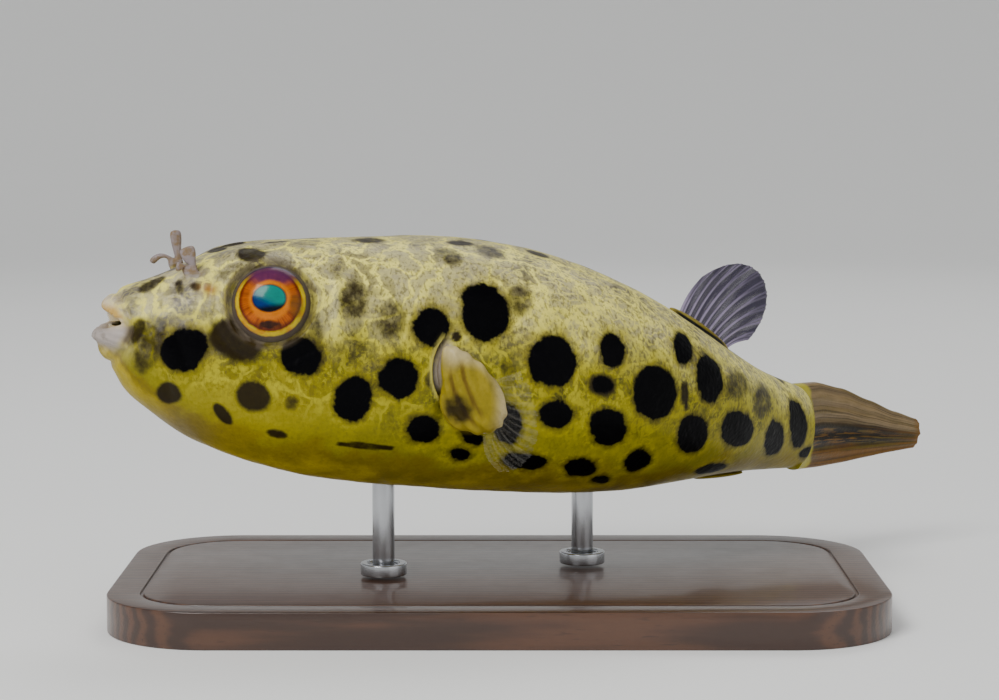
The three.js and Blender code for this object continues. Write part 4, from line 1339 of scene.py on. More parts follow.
class Nodes:
    """Adds nodes to one tree. A value in its methods may be a number, a colour or another node's output."""

    def __init__(self, tree):
        self.tree = tree

    def add(self, kind, wires=None, **settings):
        node = self.tree.nodes.new(kind)
        for name, value in settings.items():
            setattr(node, name, value)
        for name, value in (wires or {}).items():
            self.feed(node.inputs[name], value)
        return node

    def feed(self, socket, value):
        if isinstance(value, bpy.types.NodeSocket):
            self.tree.links.new(value, socket)
        elif socket.type == "RGBA":
            socket.default_value = (*value[:3], 1)
        else:
            socket.default_value = value

    def math(self, operation, first, second=0.0, clamp=False):
        wires = {0: first, 1: second}
        return self.add("ShaderNodeMath", wires, operation=operation, use_clamp=clamp).outputs[0]

    def times(self, first, *others):
        for other in others:
            first = self.math("MULTIPLY", first, other)
        return first

    def plus(self, first, second):
        return self.math("ADD", first, second)

    def minus(self, first, second):
        return self.math("SUBTRACT", first, second)

    def larger(self, first, second):
        return self.math("MAXIMUM", first, second)

    def mix(self, share, first, second, blend="MIX"):
        node = self.add("ShaderNodeMix", {0: share, 6: first, 7: second}, data_type="RGBA", blend_type=blend)
        return node.outputs[2]

    def laid(self, base, *layers):
        """Lays colours over a base. Each layer is a mask or a stored mask's name, a strength and a colour."""
        for mask, strength, colour in layers:
            if isinstance(mask, str):
                mask = self.attribute(mask)
            base = self.mix(mask if strength == 1 else self.times(mask, strength), base, colour)
        return base

    def band(self, value, low, high, start=0.0, end=1.0):
        """A smooth step of a value, from start at low to end at high."""
        wires = {0: value, 1: low, 2: high, 3: start, 4: end}
        return self.add("ShaderNodeMapRange", wires, interpolation_type="SMOOTHSTEP").outputs[0]

    def attribute(self, name):
        return self.add("ShaderNodeAttribute", attribute_name=name).outputs["Fac"]

    def noise(self, at, scale, detail=3.0, roughness=0.5, distortion=0.0):
        wires = {"Vector": at, "Scale": scale, "Detail": detail, "Roughness": roughness}
        wires["Distortion"] = distortion
        return self.add("ShaderNodeTexNoise", wires).outputs[0]

    def swing(self, *noise):
        """A noise that swings round 0, from about -0.5 to 0.5."""
        return self.minus(self.noise(*noise), 0.5)

    def vector(self, first, second):
        return self.add("ShaderNodeCombineXYZ", {0: first, 1: second}).outputs[0]

    def vector_math(self, operation, first, second):
        return self.add("ShaderNodeVectorMath", {0: first, 1: second}, operation=operation).outputs[0]

    def millimetres(self, stretch=(1, 1, 1)):
        """The point's place in millimetres, stretched along each axis."""
        place = self.add("ShaderNodeTexCoord").outputs["Object"]
        scale = tuple(value / MM for value in stretch)
        return self.add("ShaderNodeMapping", {"Vector": place, "Scale": scale}).outputs[0]

    def group(self, tree, **wires):
        node = self.tree.nodes.new("ShaderNodeGroup")
        node.node_tree = tree
        for name, value in wires.items():
            self.feed(node.inputs[name.capitalize()], value)
        return node


def new_group(name, inputs, output):
    """An empty shader node group that reads a place and some numbers, and gives one number."""
    tree = bpy.data.node_groups.new(name, "ShaderNodeTree")
    tree.interface.new_socket("At", in_out="INPUT", socket_type="NodeSocketVector")
    for label, default in inputs.items():
        socket = tree.interface.new_socket(label, in_out="INPUT", socket_type="NodeSocketFloat")
        socket.default_value = default
    tree.interface.new_socket(output, in_out="OUTPUT", socket_type="NodeSocketFloat")
    put = tree.nodes.new("NodeGroupOutput").inputs[output]
    return Nodes(tree), tree.nodes.new("NodeGroupInput").outputs, put


def shared_group(make):
    return bpy.data.node_groups.get(make.__name__) or make()


def uneven_tone():
    """A factor round 1 that varies in soft clouds and fine grain, for multiplying a colour."""
    nodes, given, put = new_group("uneven_tone", {"Cloud": 0.2, "Grain": 2.0, "Amount": 0.2}, "Factor")
    cloud = nodes.noise(given["At"], given["Cloud"], 3.0)
    grain = nodes.noise(given["At"], given["Grain"], 2.0)
    both = nodes.plus(nodes.times(cloud, 1.3), nodes.times(grain, 0.7))
    nodes.feed(put, nodes.plus(nodes.times(nodes.minus(both, 1.0), given["Amount"]), 1.0))
    return nodes.tree


def wet_gloss():
    """A roughness that wanders round its middle value."""
    nodes, given, put = new_group("wet_gloss", {"Scale": 0.5, "Middle": 0.4, "Spread": 0.1}, "Roughness")
    film = nodes.swing(given["At"], given["Scale"], 4.0, 0.6)
    nodes.feed(put, nodes.plus(nodes.times(film, given["Spread"]), given["Middle"]))
    return nodes.tree


def fine_relief():
    """A height of small round grains over soft unevenness, in the bump's own units."""
    nodes, given, put = new_group("fine_relief", {"Grains": 2.0, "Waves": 0.6}, "Height")
    grains = nodes.add(
        "ShaderNodeTexVoronoi", {"Vector": given["At"], "Scale": given["Grains"], "Smoothness": 0.6},
        feature="SMOOTH_F1",
    ).outputs["Distance"]
    waves = nodes.noise(given["At"], given["Waves"], 4.0, 0.6)
    bumps = nodes.math("SUBTRACT", 0.6, grains, clamp=True)
    nodes.feed(put, nodes.plus(nodes.times(bumps, 0.5), waves))
    return nodes.tree


def new_material(name):
    material = bpy.data.materials.new(name)
    material.use_nodes = True
    nodes = Nodes(material.node_tree)
    return material, nodes, material.node_tree.nodes["Principled BSDF"]


def toned(nodes, at, colour, cloud, grain, amount):
    tone = nodes.group(shared_group(uneven_tone), at=at, cloud=cloud, grain=grain, amount=amount).outputs[0]
    grey = nodes.add("ShaderNodeCombineColor", {0: tone, 1: tone, 2: tone})
    return nodes.mix(1.0, colour, grey.outputs[0], "MULTIPLY")


def glossed(nodes, shader, at, scale, middle, spread):
    gloss = nodes.group(shared_group(wet_gloss), at=at, scale=scale, middle=middle, spread=spread)
    nodes.feed(shader.inputs["Roughness"], gloss.outputs[0])


def bumped(nodes, shader, height, distance, strength=1.0):
    bump = nodes.add("ShaderNodeBump", {"Height": height, "Distance": distance * MM, "Strength": strength})
    nodes.feed(shader.inputs["Normal"], bump.outputs[0])


def relieved(nodes, shader, at, grains, waves, distance):
    relief = nodes.group(shared_group(fine_relief), at=at, grains=grains, waves=waves)
    bumped(nodes, shader, relief.outputs[0], distance)


def body_tones(nodes, colours, at, height):
    """Belly with painted light under it, flank and back, with the head's own tones over them and grey-brown
    clouds above.
    """
    # The paler underside is painted light against the shade under the belly.
    belly = nodes.mix(nodes.band(height, 0.12, 0.0), colours.belly, colours.belly_underside)
    base = nodes.mix(nodes.band(height, 0.13, 0.2), belly, colours.flank)
    base = nodes.mix(nodes.band(height, 0.5, 0.82), base, colours.back)
    cream = nodes.band(nodes.noise(at, 0.5, 3.0, 0.6, 0.6), 0.44, 0.62)
    snout = nodes.mix(cream, colours.snout, colours.snout_pale)
    cloud = nodes.band(nodes.noise(at, 0.22, 4.0, 0.62, 0.6), 0.5, 0.62)
    return nodes.laid(
        base,
        ("cheek", 0.8, colours.cheek),
        ("chin", 0.8, colours.chin),
        ("snout", 0.9, snout),
        ("forehead", 0.45, snout),
        (nodes.times(cloud, nodes.band(height, 0.36, 0.6)), 0.7, colours.cloud),
    )


def line_net(nodes, at, height, wander):
    """A mask of the lines on the back and the upper flank, with a finer net behind the side fins."""
    twist = nodes.add("ShaderNodeTexNoise", {"Vector": at, "Scale": 0.3, "Detail": 2.5, "Roughness": 0.55})
    sway = nodes.vector_math("MULTIPLY", twist.outputs["Color"], (6.0, 6.0, 6.0))
    swayed = nodes.vector_math("ADD", at, sway)
    wide, fine = (
        nodes.add("ShaderNodeTexVoronoi", {"Vector": swayed, "Scale": scale}, feature="DISTANCE_TO_EDGE")
        for scale in (0.24, 0.62)
    )
    grit = nodes.times(nodes.swing(at, 1.9, 3.0, 0.6), 0.07)
    from_wide = nodes.plus(wide.outputs["Distance"], grit)
    from_fine = nodes.plus(fine.outputs["Distance"], nodes.times(grit, 1.6))
    line = nodes.larger(nodes.band(from_wide, 0.1, 0.03), nodes.band(from_wide, 0.3, 0.0, 0.0, 0.35))
    broken = nodes.band(nodes.noise(at, 0.28, 2.0, 0.5), 0.32, 0.5, 0.25, 1.0)
    place = nodes.plus(nodes.attribute("place"), nodes.times(wander, 30.0))
    behind = nodes.band(place, -12.0, 8.0, 0.25, 0.8)
    line = nodes.larger(nodes.times(line, broken), nodes.times(nodes.band(from_fine, 0.16, 0.0), behind))
    above = nodes.times(nodes.band(height, 0.2, 0.42), nodes.band(height, 1.15, 0.95, 0.6, 1.0))
    return nodes.times(line, above)


def fine_marks(nodes, colours, at, height, wander, base):
    """Pale-yellow lines, yellow grains, the yellow of the low flank and the rear, a deeper olive low at the
    rear that is partly painted shade, and dark speckle.
    """
    yellow = nodes.mix(nodes.band(height, 0.88, 0.5), colours.lines, colours.grains)
    round_spots = nodes.band(nodes.attribute("spot"), 1.9, 0.3)
    flank = nodes.times(nodes.band(height, 0.2, 0.45), nodes.band(height, 0.95, 0.6))
    grain = nodes.times(
        nodes.band(nodes.noise(at, 2.1, 3.0, 0.6, 0.4), 0.44, 0.66),
        nodes.band(nodes.noise(at, 0.5, 2.0), 0.36, 0.58, 0.3, 1.0),
        nodes.larger(flank, round_spots),
    )
    ring = nodes.times(round_spots, nodes.band(nodes.noise(at, 0.9, 3.0), 0.35, 0.6))
    low_flank = nodes.times(nodes.band(height, 0.12, 0.2), nodes.band(height, 0.42, 0.24))
    place = nodes.attribute("place")
    rear = nodes.band(place, 22.0, 34.0)
    # The speckle is drawn out a little upwards.
    speckle = nodes.times(
        nodes.band(nodes.noise(nodes.millimetres((1.0, 0.8, 0.5)), 3.6, 2.0, 0.6), 0.48, 0.66),
        nodes.band(height, 0.2, 0.66, 0.25, 1.0),
        nodes.band(nodes.attribute("snout"), 0.0, 1.0, 1.0, 0.35),
    )
    return nodes.laid(
        base,
        (line_net(nodes, at, height, wander), 0.95, yellow),
        (grain, 0.75, yellow),
        (ring, 0.6, colours.ring),
        (low_flank, 0.42, colours.grains),
        (nodes.times(rear, nodes.band(height, 0.95, 0.55)), 0.3, colours.ring),
        # The low rear takes the belly's olive: partly its own deeper colour and partly painted shade against
        # the light thrown up from the floor.
        (nodes.times(rear, nodes.band(height, 0.5, 0.1)), 0.65, colours.belly),
        (nodes.band(place, 40.3, 40.8), 0.85, colours.ring),
        (speckle, 0.55, colours.speckle),
    )


def small_parts(nodes, colours, at, ragged, base):
    """The gill, the side fins' lobes, the ridges, the feelers, the lips and the eye's rim."""
    lobe_spot = nodes.plus(nodes.attribute("lobe_spot"), nodes.times(ragged, 1.3))
    lobe = nodes.laid(
        colours.lobe,
        ("lobe_edge", 1, colours.lobe_edge),
        ("lobe_fold", 0.8, colours.lobe_shade),
        # Painted shade in the lobe's furrows.
        (nodes.band(lobe_spot, 0.15, 1.0, 0.0, 0.93), 1, colours.patch),
    )
    feeler = nodes.mix(
        nodes.band(nodes.noise(at, 0.9, 3.0, 0.6), 0.42, 0.6), colours.feeler, colours.feeler_shade
    )
    lips = nodes.mix(nodes.band(nodes.noise(at, 0.7, 3.0), 0.4, 0.62), colours.lip, colours.lip_shade)
    lower_lip = nodes.mix(
        nodes.band(nodes.noise(at, 0.8, 3.0, 0.6), 0.5, 0.7, 0.0, 0.6), colours.lip_low, colours.snout
    )
    rim = nodes.laid(
        colours.eye_rim,
        (nodes.band(nodes.noise(at, 0.7, 3.0), 0.42, 0.62), 1, colours.eye_rim_shade),
        # Painted shade towards the rim's rear.
        ("eye_rear", 0.8, colours.eye_rim_shade),
    )
    return nodes.laid(
        base,
        # The gill's pale flesh, made paler as painted light.
        ("gill_flesh", 0.95, colours.gill_flesh),
        ("gill_rim", 0.9, colours.lines),
        # Painted shade in the gill slit.
        ("gill", 1, colours.gill_dark),
        ("lobe", 1, toned(nodes, at, lobe, 0.6, 3.0, 0.5)),
        ("ridge", 0.85, colours.lobe),
        ("wedge", 1, colours.spot),
        ("nostril", 1, colours.nostril),
        ("feeler", 1, feeler),
        ("lip_tone", 0.88, lips),
        ("lip_low", 0.85, lower_lip),
        ("lip_gold", 0.85, colours.lip_gold),
        # Painted shade: the mouth's lining is nearly black.
        ("mouth", 1, colours.mouth),
        ("eye_rim", 0.7, rim),
    )


def skin_material(colours):
    material, nodes, shader = new_material("puffer_skin")
    at = nodes.millimetres()
    wander = nodes.swing(at, 0.24, 4.0, 0.6)
    height = nodes.plus(nodes.attribute("level"), nodes.times(wander, 0.34))
    base = fine_marks(nodes, colours, at, height, wander, body_tones(nodes, colours, at, height))
    # Soft patches, then the black spots with uneven edges.
    ragged = nodes.swing(at, 0.75, 4.0, 0.6)
    smudge = nodes.plus(nodes.attribute("smudge"), nodes.times(ragged, 0.55))
    edge = nodes.plus(nodes.attribute("spot"), nodes.times(ragged, 1.25))
    black = nodes.band(edge, 0.22, -0.1)
    base = nodes.laid(
        base,
        (nodes.band(smudge, 0.14, 0.66), 0.97, colours.patch),
        (nodes.band(edge, 0.75, 0.1), 0.55, colours.patch),
        (black, 1, colours.spot),
    )
    base = toned(nodes, at, base, 0.35, 3.2, 0.35)
    nodes.feed(shader.inputs["Base Color"], small_parts(nodes, colours, at, ragged, base))
    glossed(nodes, shader, at, 1.2, 0.44, 0.3)
    relieved(nodes, shader, at, 1.9, 0.7, 0.09)
    nodes.feed(shader.inputs["Coat Weight"], nodes.band(black, 1.0, 0.0, 0.01, 0.18))
    shader.inputs["Coat Roughness"].default_value = 0.28
    shader.inputs["Specular IOR Level"].default_value = 0.04
    return material


def eye_material(colours):
    material, nodes, shader = new_material("puffer_eye")
    at = nodes.millimetres()
    x, y = nodes.attribute("iris_x"), nodes.attribute("iris_y")
    wobble = nodes.times(nodes.swing(at, 1.4, 3.0), 0.5)

    def reach(across, up, centre_x=0.0, centre_y=0.0):
        """How far out a point is, as a share of an ellipse given by its half axes and its middle."""
        first = nodes.math("DIVIDE", nodes.minus(x, centre_x), across)
        second = nodes.math("DIVIDE", nodes.minus(y, centre_y), up)
        return nodes.math("SQRT", nodes.plus(nodes.times(first, first), nodes.times(second, second)))

    radius = nodes.plus(reach(1.0, 1.0), nodes.times(wobble, 0.35))
    # Streaks that run outwards from the pupil, without a seam where the angle starts again.
    spokes = nodes.vector(nodes.math("DIVIDE", x, radius), nodes.math("DIVIDE", y, radius))
    streak = nodes.noise(nodes.vector_math("MULTIPLY", spokes, (6.0, 6.0, 6.0)), 1.1, 4.0, 0.65)
    ring = nodes.mix(
        nodes.band(nodes.noise(at, 0.9, 3.0), 0.42, 0.64, 0.0, 0.6), colours.iris_ring, colours.iris_inner
    )
    ring_mask = nodes.times(nodes.band(radius, 2.84, 3.06), nodes.band(y, 2.5, 1.1, 0.3, 1.0))
    violet = nodes.times(nodes.band(reach(2.9, 1.75, 0.15, 2.7), 1.05, 0.5), nodes.band(radius, 1.7, 2.1))
    dark = nodes.plus(reach(1.5, 0.5, -0.1, -2.35), nodes.times(wobble, 1.4))
    # From the pupil outwards: a bright ring, a red-brown band and the yellow ring, which fades at the top.
    # Then violet over the upper part, olive at the rear, a dark patch below the pupil and the ball's rim.
    iris = nodes.laid(
        colours.iris,
        (nodes.band(streak, 0.38, 0.66, 0.0, 0.6), 1, colours.iris_deep),
        (nodes.band(radius, 2.2, 1.75), 1, colours.iris_inner),
        (nodes.band(radius, 2.45, 2.85), 0.85, colours.iris_deep),
        (ring_mask, 1, ring),
        (violet, 0.92, colours.iris_top),
        (nodes.band(reach(0.9, 1.5, 2.45, -0.5), 1.0, 0.4), 0.6, colours.iris_olive),
        (nodes.band(dark, 1.0, 0.45), 0.92, colours.iris_dark),
        (nodes.band(radius, 3.22, 3.4, 0.0, 0.85), 1, colours.iris_edge),
        (nodes.band(radius, 3.4, 3.48), 1, colours.eye_white),
    )
    pupil_reach = nodes.plus(reach(1.6, 1.32, -0.05, 0.1), nodes.times(wobble, 0.12))
    slanted = nodes.plus(y, nodes.times(x, 0.55))
    foot = nodes.plus(y, nodes.times(x, -0.15))
    # A blue pupil with a painted teal reflection across its top and its own dark at the foot.
    pupil = nodes.laid(
        colours.pupil_side,
        (nodes.band(slanted, -0.9, 0.35), 1, colours.pupil_top),
        (nodes.band(foot, -0.35, -0.95), 1, colours.pupil_dark),
    )
    outline = nodes.times(nodes.band(pupil_reach, 0.86, 0.98), nodes.band(pupil_reach, 1.1, 1.0))
    colour = nodes.laid(
        iris,
        (nodes.band(pupil_reach, 1.04, 0.95), 1, pupil),
        (outline, 0.6, colours.pupil_dark),
    )
    nodes.feed(shader.inputs["Base Color"], toned(nodes, at, colour, 0.8, 4.0, 0.4))
    glossed(nodes, shader, at, 2.0, 0.34, 0.15)
    shader.inputs["Coat Weight"].default_value = 0.3
    shader.inputs["Coat Roughness"].default_value = 0.13
    shader.inputs["Specular IOR Level"].default_value = 0.04
    return material


def tooth_material(colours):
    material, nodes, shader = new_material("puffer_tooth")
    at = nodes.millimetres()
    nodes.feed(shader.inputs["Base Color"], toned(nodes, at, colours.tooth, 0.6, 3.0, 0.4))
    glossed(nodes, shader, at, 2.0, 0.25, 0.1)
    relieved(nodes, shader, at, 4.0, 1.2, 0.03)
    shader.inputs["Coat Weight"].default_value = 0.5
    return material


def web_material(name, web, ray, streak, web_alpha, ray_alpha, root, root_reach):
    """A fin's finish: clear web between firmer rays, thicker and warmer at the root."""
    material, nodes, shader = new_material(name)
    at = nodes.millimetres()
    rays, reach, span = nodes.attribute("ray"), nodes.attribute("reach"), nodes.attribute("span")
    lengthwise = nodes.vector(nodes.times(span, 14.0), nodes.times(reach, 1.2))
    clouds = nodes.noise(lengthwise, 1.3, 3.0, 0.55, 0.3)
    near_root = nodes.band(reach, root_reach, 0.02)
    tips = nodes.times(nodes.band(reach, 0.3, 0.85), nodes.band(clouds, 0.35, 0.6, 0.4, 1.0))
    colour = nodes.laid(
        nodes.mix(0.5, web, nodes.mix(nodes.band(clouds, 0.42, 0.62), web, streak)),
        (nodes.band(rays, 0.25, 0.8), 1, ray),
        (tips, 0.8, streak),
        (near_root, 0.8, root),
    )
    nodes.feed(shader.inputs["Base Color"], toned(nodes, at, colour, 0.8, 4.0, 0.25))
    ray_cover = nodes.band(rays, 0.1, 0.8, 0.0, ray_alpha)
    web_cover = nodes.band(clouds, 0.3, 0.7, web_alpha * 0.8, web_alpha * 1.2)
    nodes.feed(shader.inputs["Alpha"], nodes.larger(nodes.larger(ray_cover, web_cover), near_root))
    glossed(nodes, shader, at, 1.0, 0.38, 0.15)
    relieved(nodes, shader, at, 3.0, 1.0, 0.04)
    shader.inputs["Coat Weight"].default_value = 0.3
    shader.inputs["Specular IOR Level"].default_value = 0.15
    return material


def tail_material(colours):
    material, nodes, shader = new_material("puffer_tail_fin")
    at = nodes.millimetres()
    rays, reach, rise = nodes.attribute("ray"), nodes.attribute("reach"), nodes.attribute("rise")
    lengthwise = nodes.vector(nodes.times(reach, 1.6), nodes.times(rise, 9.0))
    streaks = nodes.noise(lengthwise, 1.3, 3.0, 0.5, 0.3)
    fine = nodes.noise(lengthwise, 3.6, 3.0, 0.55)
    thread = nodes.noise(nodes.vector(nodes.times(reach, 0.8), nodes.times(rise, 30.0)), 1.2, 2.0, 0.5)
    upper = nodes.laid(colours.tail_tan, (nodes.band(streaks, 0.4, 0.7), 0.6, colours.tail_olive))
    lower = nodes.mix(nodes.band(streaks, 0.4, 0.6), colours.tail_orange, colours.tail_olive)
    sway = nodes.plus(rise, nodes.times(nodes.minus(streaks, 0.5), 0.12))
    middle = nodes.times(nodes.band(sway, 0.2, 0.3), nodes.band(sway, 0.56, 0.5))
    edge = nodes.times(nodes.band(sway, 0.46, 0.5), nodes.band(sway, 0.57, 0.53))
    dark = nodes.larger(nodes.times(nodes.band(fine, 0.42, 0.5), middle), nodes.times(edge, 0.8))
    scallops = nodes.plus(reach, nodes.times(nodes.minus(rays, 0.5), 0.03))
    colour = nodes.laid(
        upper,
        (nodes.band(sway, 0.56, 0.5), 1, lower),
        (nodes.times(dark, nodes.band(reach, 1.0, 0.6, 0.45, 0.97)), 1, colours.tail_dark),
        (nodes.band(fine, 0.56, 0.7), 0.35, colours.tail_olive),
        (nodes.band(rise, 0.18, 0.08), 0.8, colours.tail_orange),
        (nodes.band(rays, 0.3, 0.0), 0.3, colours.tail_dark),
        (nodes.band(thread, 0.5, 0.62), 0.5, colours.tail_dark),
        (nodes.band(reach, 0.93, 1.0), 0.8, colours.tail_orange),
        (nodes.band(scallops, 0.12, 0.08), 0.85, colours.grains),
    )
    nodes.feed(shader.inputs["Base Color"], toned(nodes, at, colour, 0.5, 3.0, 0.35))
    glossed(nodes, shader, at, 1.0, 0.42, 0.2)
    relieved(nodes, shader, at, 2.6, 0.9, 0.06)
    shader.inputs["Coat Weight"].default_value = 0.3
    shader.inputs["Specular IOR Level"].default_value = 0.1
    return material


def wood_material(colours):
    material, nodes, shader = new_material("dark_base_wood")
    at, along_grain = nodes.millimetres(), nodes.millimetres((0.09, 1.0, 1.0))
    rings = nodes.add(
        "ShaderNodeTexWave",
        {"Vector": along_grain, "Scale": 0.28, "Distortion": 5.0, "Detail": 3.0, "Detail Scale": 1.2},
        bands_direction="Y",
    ).outputs["Fac"]
    ripple = nodes.noise(along_grain, 0.35, 4.0, 0.6, 1.2)
    grain = nodes.plus(nodes.times(rings, 0.6), nodes.times(ripple, 0.5))
    pores = nodes.noise(nodes.millimetres((0.5, 6.0, 6.0)), 0.8, 2.0)
    colour = nodes.laid(
        colours.wood,
        (nodes.band(grain, 0.25, 0.85), 1, colours.wood_dark),
        (nodes.band(pores, 0.6, 0.72), 0.7, colours.wood_dark),
    )
    nodes.feed(shader.inputs["Base Color"], toned(nodes, at, colour, 0.05, 1.0, 0.25))
    glossed(nodes, shader, at, 0.3, 0.36, 0.12)
    bumped(nodes, shader, pores, 0.05, 0.5)
    shader.inputs["Coat Weight"].default_value = 0.4
    shader.inputs["Coat Roughness"].default_value = 0.12
    return material


def steel_material(colours):
    material, nodes, shader = new_material("brushed_rod_steel")
    at, brushed = nodes.millimetres(), nodes.millimetres((1.0, 1.0, 14.0))
    nodes.feed(shader.inputs["Base Color"], toned(nodes, at, colours.steel, 0.3, 2.0, 0.12))
    glossed(nodes, shader, brushed, 1.2, 0.24, 0.08)
    bumped(nodes, shader, nodes.noise(brushed, 1.6, 3.0), 0.004, 0.3)
    shader.inputs["Metallic"].default_value = 1.0
    return material


def floor_material(colour):
    material, nodes, shader = new_material("studio_floor")
    at = nodes.millimetres()
    nodes.feed(shader.inputs["Base Color"], toned(nodes, at, colour, 0.004, 0.02, 0.03))
    shader.inputs["Roughness"].default_value = 0.75
    return material


# ---------- settings ----------


def colour_of(label, value, note):
    return FloatVectorProperty(name=label, description=note, default=value, subtype="COLOR", min=0, max=1)


class PufferColours(bpy.types.PropertyGroup):
    """Colours of the skin, eyes, fins and stand."""

    back: colour_of("Back", (0.4, 0.355, 0.19), "Beige-grey of the back")
    cloud: colour_of("Clouds", (0.085, 0.07, 0.04), "Grey-brown clouds on the back")
    flank: colour_of("Flank", (0.085, 0.078, 0.003), "Yellow-green of the flanks")
    belly: colour_of("Belly", (0.185, 0.135, 0.001), "Olive-yellow of the belly")
    # Paler under the belly as painted light against the shade that falls there.
    belly_underside: colour_of("Underside", (0.4, 0.3, 0.002), "Paler yellow under the belly")
    lines: colour_of("Lines", (0.86, 0.77, 0.17), "Pale yellow of the lines and grains near the back")
    grains: colour_of("Grains", (0.42, 0.37, 0.014), "Deeper yellow of the flank's lines and grains")
    ring: colour_of("Spot ring", (0.34, 0.285, 0.006), "Yellow round the black spots")
    speckle: colour_of("Speckle", (0.06, 0.048, 0.014), "Dark fine speckle")
    patch: colour_of("Patches", (0.01, 0.0045, 0.0005), "Brown soft patches")
    spot: colour_of("Spots", (0.0004, 0.0004, 0.001), "Black spots")
    snout: colour_of("Snout", (0.12, 0.105, 0.1), "Grey-lavender of the snout")
    snout_pale: colour_of("Snout patches", (0.44, 0.39, 0.26), "Cream patches on the snout")
    cheek: colour_of("Cheek", (0.27, 0.205, 0.003), "Yellow of the cheeks")
    chin: colour_of("Chin", (0.12, 0.085, 0.06), "Grey of the chin")
    lip: colour_of("Lips", (0.68, 0.57, 0.42), "Cream of the lips")
    lip_shade: colour_of("Lip shade", (0.54, 0.42, 0.25), "Warmer cream of the lips")
    lip_low: colour_of("Lower lip", (0.36, 0.32, 0.31), "Lavender-white of the lower lip")
    lip_gold: colour_of("Lip lower edge", (0.55, 0.33, 0.06), "Golden lower edge of the upper lip")
    # The mouth's lining is nearly black: painted shade inside the mouth.
    mouth: colour_of("Mouth", (0.03, 0.013, 0.004), "Lining of the mouth")
    tooth: colour_of("Teeth", (0.50, 0.38, 0.16), "Ivory of the tooth plates")
    nostril: colour_of("Nostril mark", (0.30, 0.14, 0.02), "Orange-brown below each feeler")
    feeler: colour_of("Feelers", (0.27, 0.225, 0.225), "Grey-lilac of the nostril feelers")
    feeler_shade: colour_of("Feeler shade", (0.22, 0.15, 0.085), "Brown beige of the nostril feelers")
    eye_rim: colour_of("Eye rim", (0.14, 0.112, 0.082), "Grey-lavender skin round the eye")
    # Brown mottling of the eye's rim, and its painted shade towards the rear.
    eye_rim_shade: colour_of("Eye rim shade", (0.05, 0.034, 0.01), "Brown shade of the eye's rim")
    # Painted shade in the gill slit and along a fold behind it.
    gill_dark: colour_of("Gill slit", (0.015, 0.008, 0.003), "Depth of the gill slit")
    # Pale flesh behind the slit, made paler still as painted light against the shade of its hollow.
    gill_flesh: colour_of("Gill flesh", (0.72, 0.62, 0.58), "Pale flesh beside the slit")
    lobe: colour_of("Fin lobe", (0.25, 0.19, 0.012), "Golden fleshy base of the side fins")
    lobe_edge: colour_of("Fin lobe edge", (0.52, 0.42, 0.2), "Pale rear edge of the lobe")
    lobe_shade: colour_of("Fin lobe folds", (0.085, 0.042, 0.003), "Shade in the lobe's folds")
    iris: colour_of("Iris", (0.4, 0.085, 0.0), "Orange of the iris")
    iris_deep: colour_of("Iris shade", (0.075, 0.005, 0.0), "Red-brown of the iris")
    iris_inner: colour_of("Iris inner ring", (0.52, 0.14, 0.0), "Bright ring by the pupil")
    iris_ring: colour_of("Iris outer ring", (0.56, 0.42, 0.0), "Yellow ring round the iris")
    iris_top: colour_of("Iris top", (0.075, 0.012, 0.06), "Violet of the iris's top")
    iris_olive: colour_of("Iris rear", (0.09, 0.045, 0.0), "Olive of the iris's rear")
    iris_dark: colour_of("Iris patch", (0.006, 0.001, 0.0), "Dark patch under the pupil")
    iris_edge: colour_of("Iris edge", (0.015, 0.015, 0.05), "Blue-violet line round the iris")
    eye_white: colour_of("Eye edge", (0.1, 0.08, 0.062), "Grey edge of the eyeball")
    # The teal is a painted reflection across the pupil's top.
    pupil_top: colour_of("Pupil top", (0.002, 0.18, 0.145), "Teal of the pupil")
    pupil_side: colour_of("Pupil side", (0.0, 0.02, 0.12), "Blue of the pupil")
    pupil_dark: colour_of("Pupil foot", (0.0, 0.002, 0.006), "Dark foot of the pupil")
    web: colour_of("Fin web", (0.065, 0.052, 0.09), "Grey-lilac web of the back fin")
    web_streak: colour_of("Fin streaks", (0.03, 0.024, 0.05), "Blue-dark streaks of the back fin")
    ray: colour_of("Fin rays", (0.3, 0.25, 0.37), "Violet-white rays")
    clear_web: colour_of("Side fin web", (0.34, 0.33, 0.3), "Nearly clear web of the side fins")
    clear_ray: colour_of("Side fin rays", (0.42, 0.39, 0.32), "Pale rays of the side fins")
    tail_tan: colour_of("Tail fin top", (0.225, 0.155, 0.075), "Pinkish tan of the tail fin's top")
    tail_olive: colour_of("Tail fin middle", (0.09, 0.06, 0.003), "Olive-brown of the tail fin")
    tail_orange: colour_of("Tail fin foot", (0.15, 0.062, 0.0), "Orange-brown of its lower edge")
    tail_dark: colour_of("Tail fin streaks", (0.004, 0.002, 0.0006), "Dark streaks of the tail fin")
    wood: colour_of("Wood", (0.085, 0.034, 0.015), "Base's wood")
    wood_dark: colour_of("Wood grain", (0.036, 0.014, 0.007), "Darker grain of the wood")
    steel: colour_of("Steel", (0.46, 0.47, 0.49), "Rods and collars")


def count_of(label, value, low, high, note):
    return IntProperty(name=label, description=note, default=value, min=low, max=high)


def length_of(label, value, note):
    return FloatProperty(name=label, description=note, default=value * MM, unit="LENGTH", subtype="DISTANCE")


class PufferForm(bpy.types.PropertyGroup):
    """Sizes that the pieces are made with."""

    skin_levels: count_of("Skin smoothing", 3, 2, 3, "Subdivision of the skin")
    dorsal_rays: count_of("Back fin rays", 10, 6, 14, "Rays of the back fin")
    anal_rays: count_of("Anal fin rays", 9, 6, 14, "Rays of the anal fin")
    pectoral_rays: count_of("Side fin rays", 15, 8, 20, "Rays of a side fin")
    rod_edge: length_of("Rod edge", 0.15, "Eased edge of the rods")
    collar_edge: length_of("Collar edge", 0.2, "Eased edge of the collars")


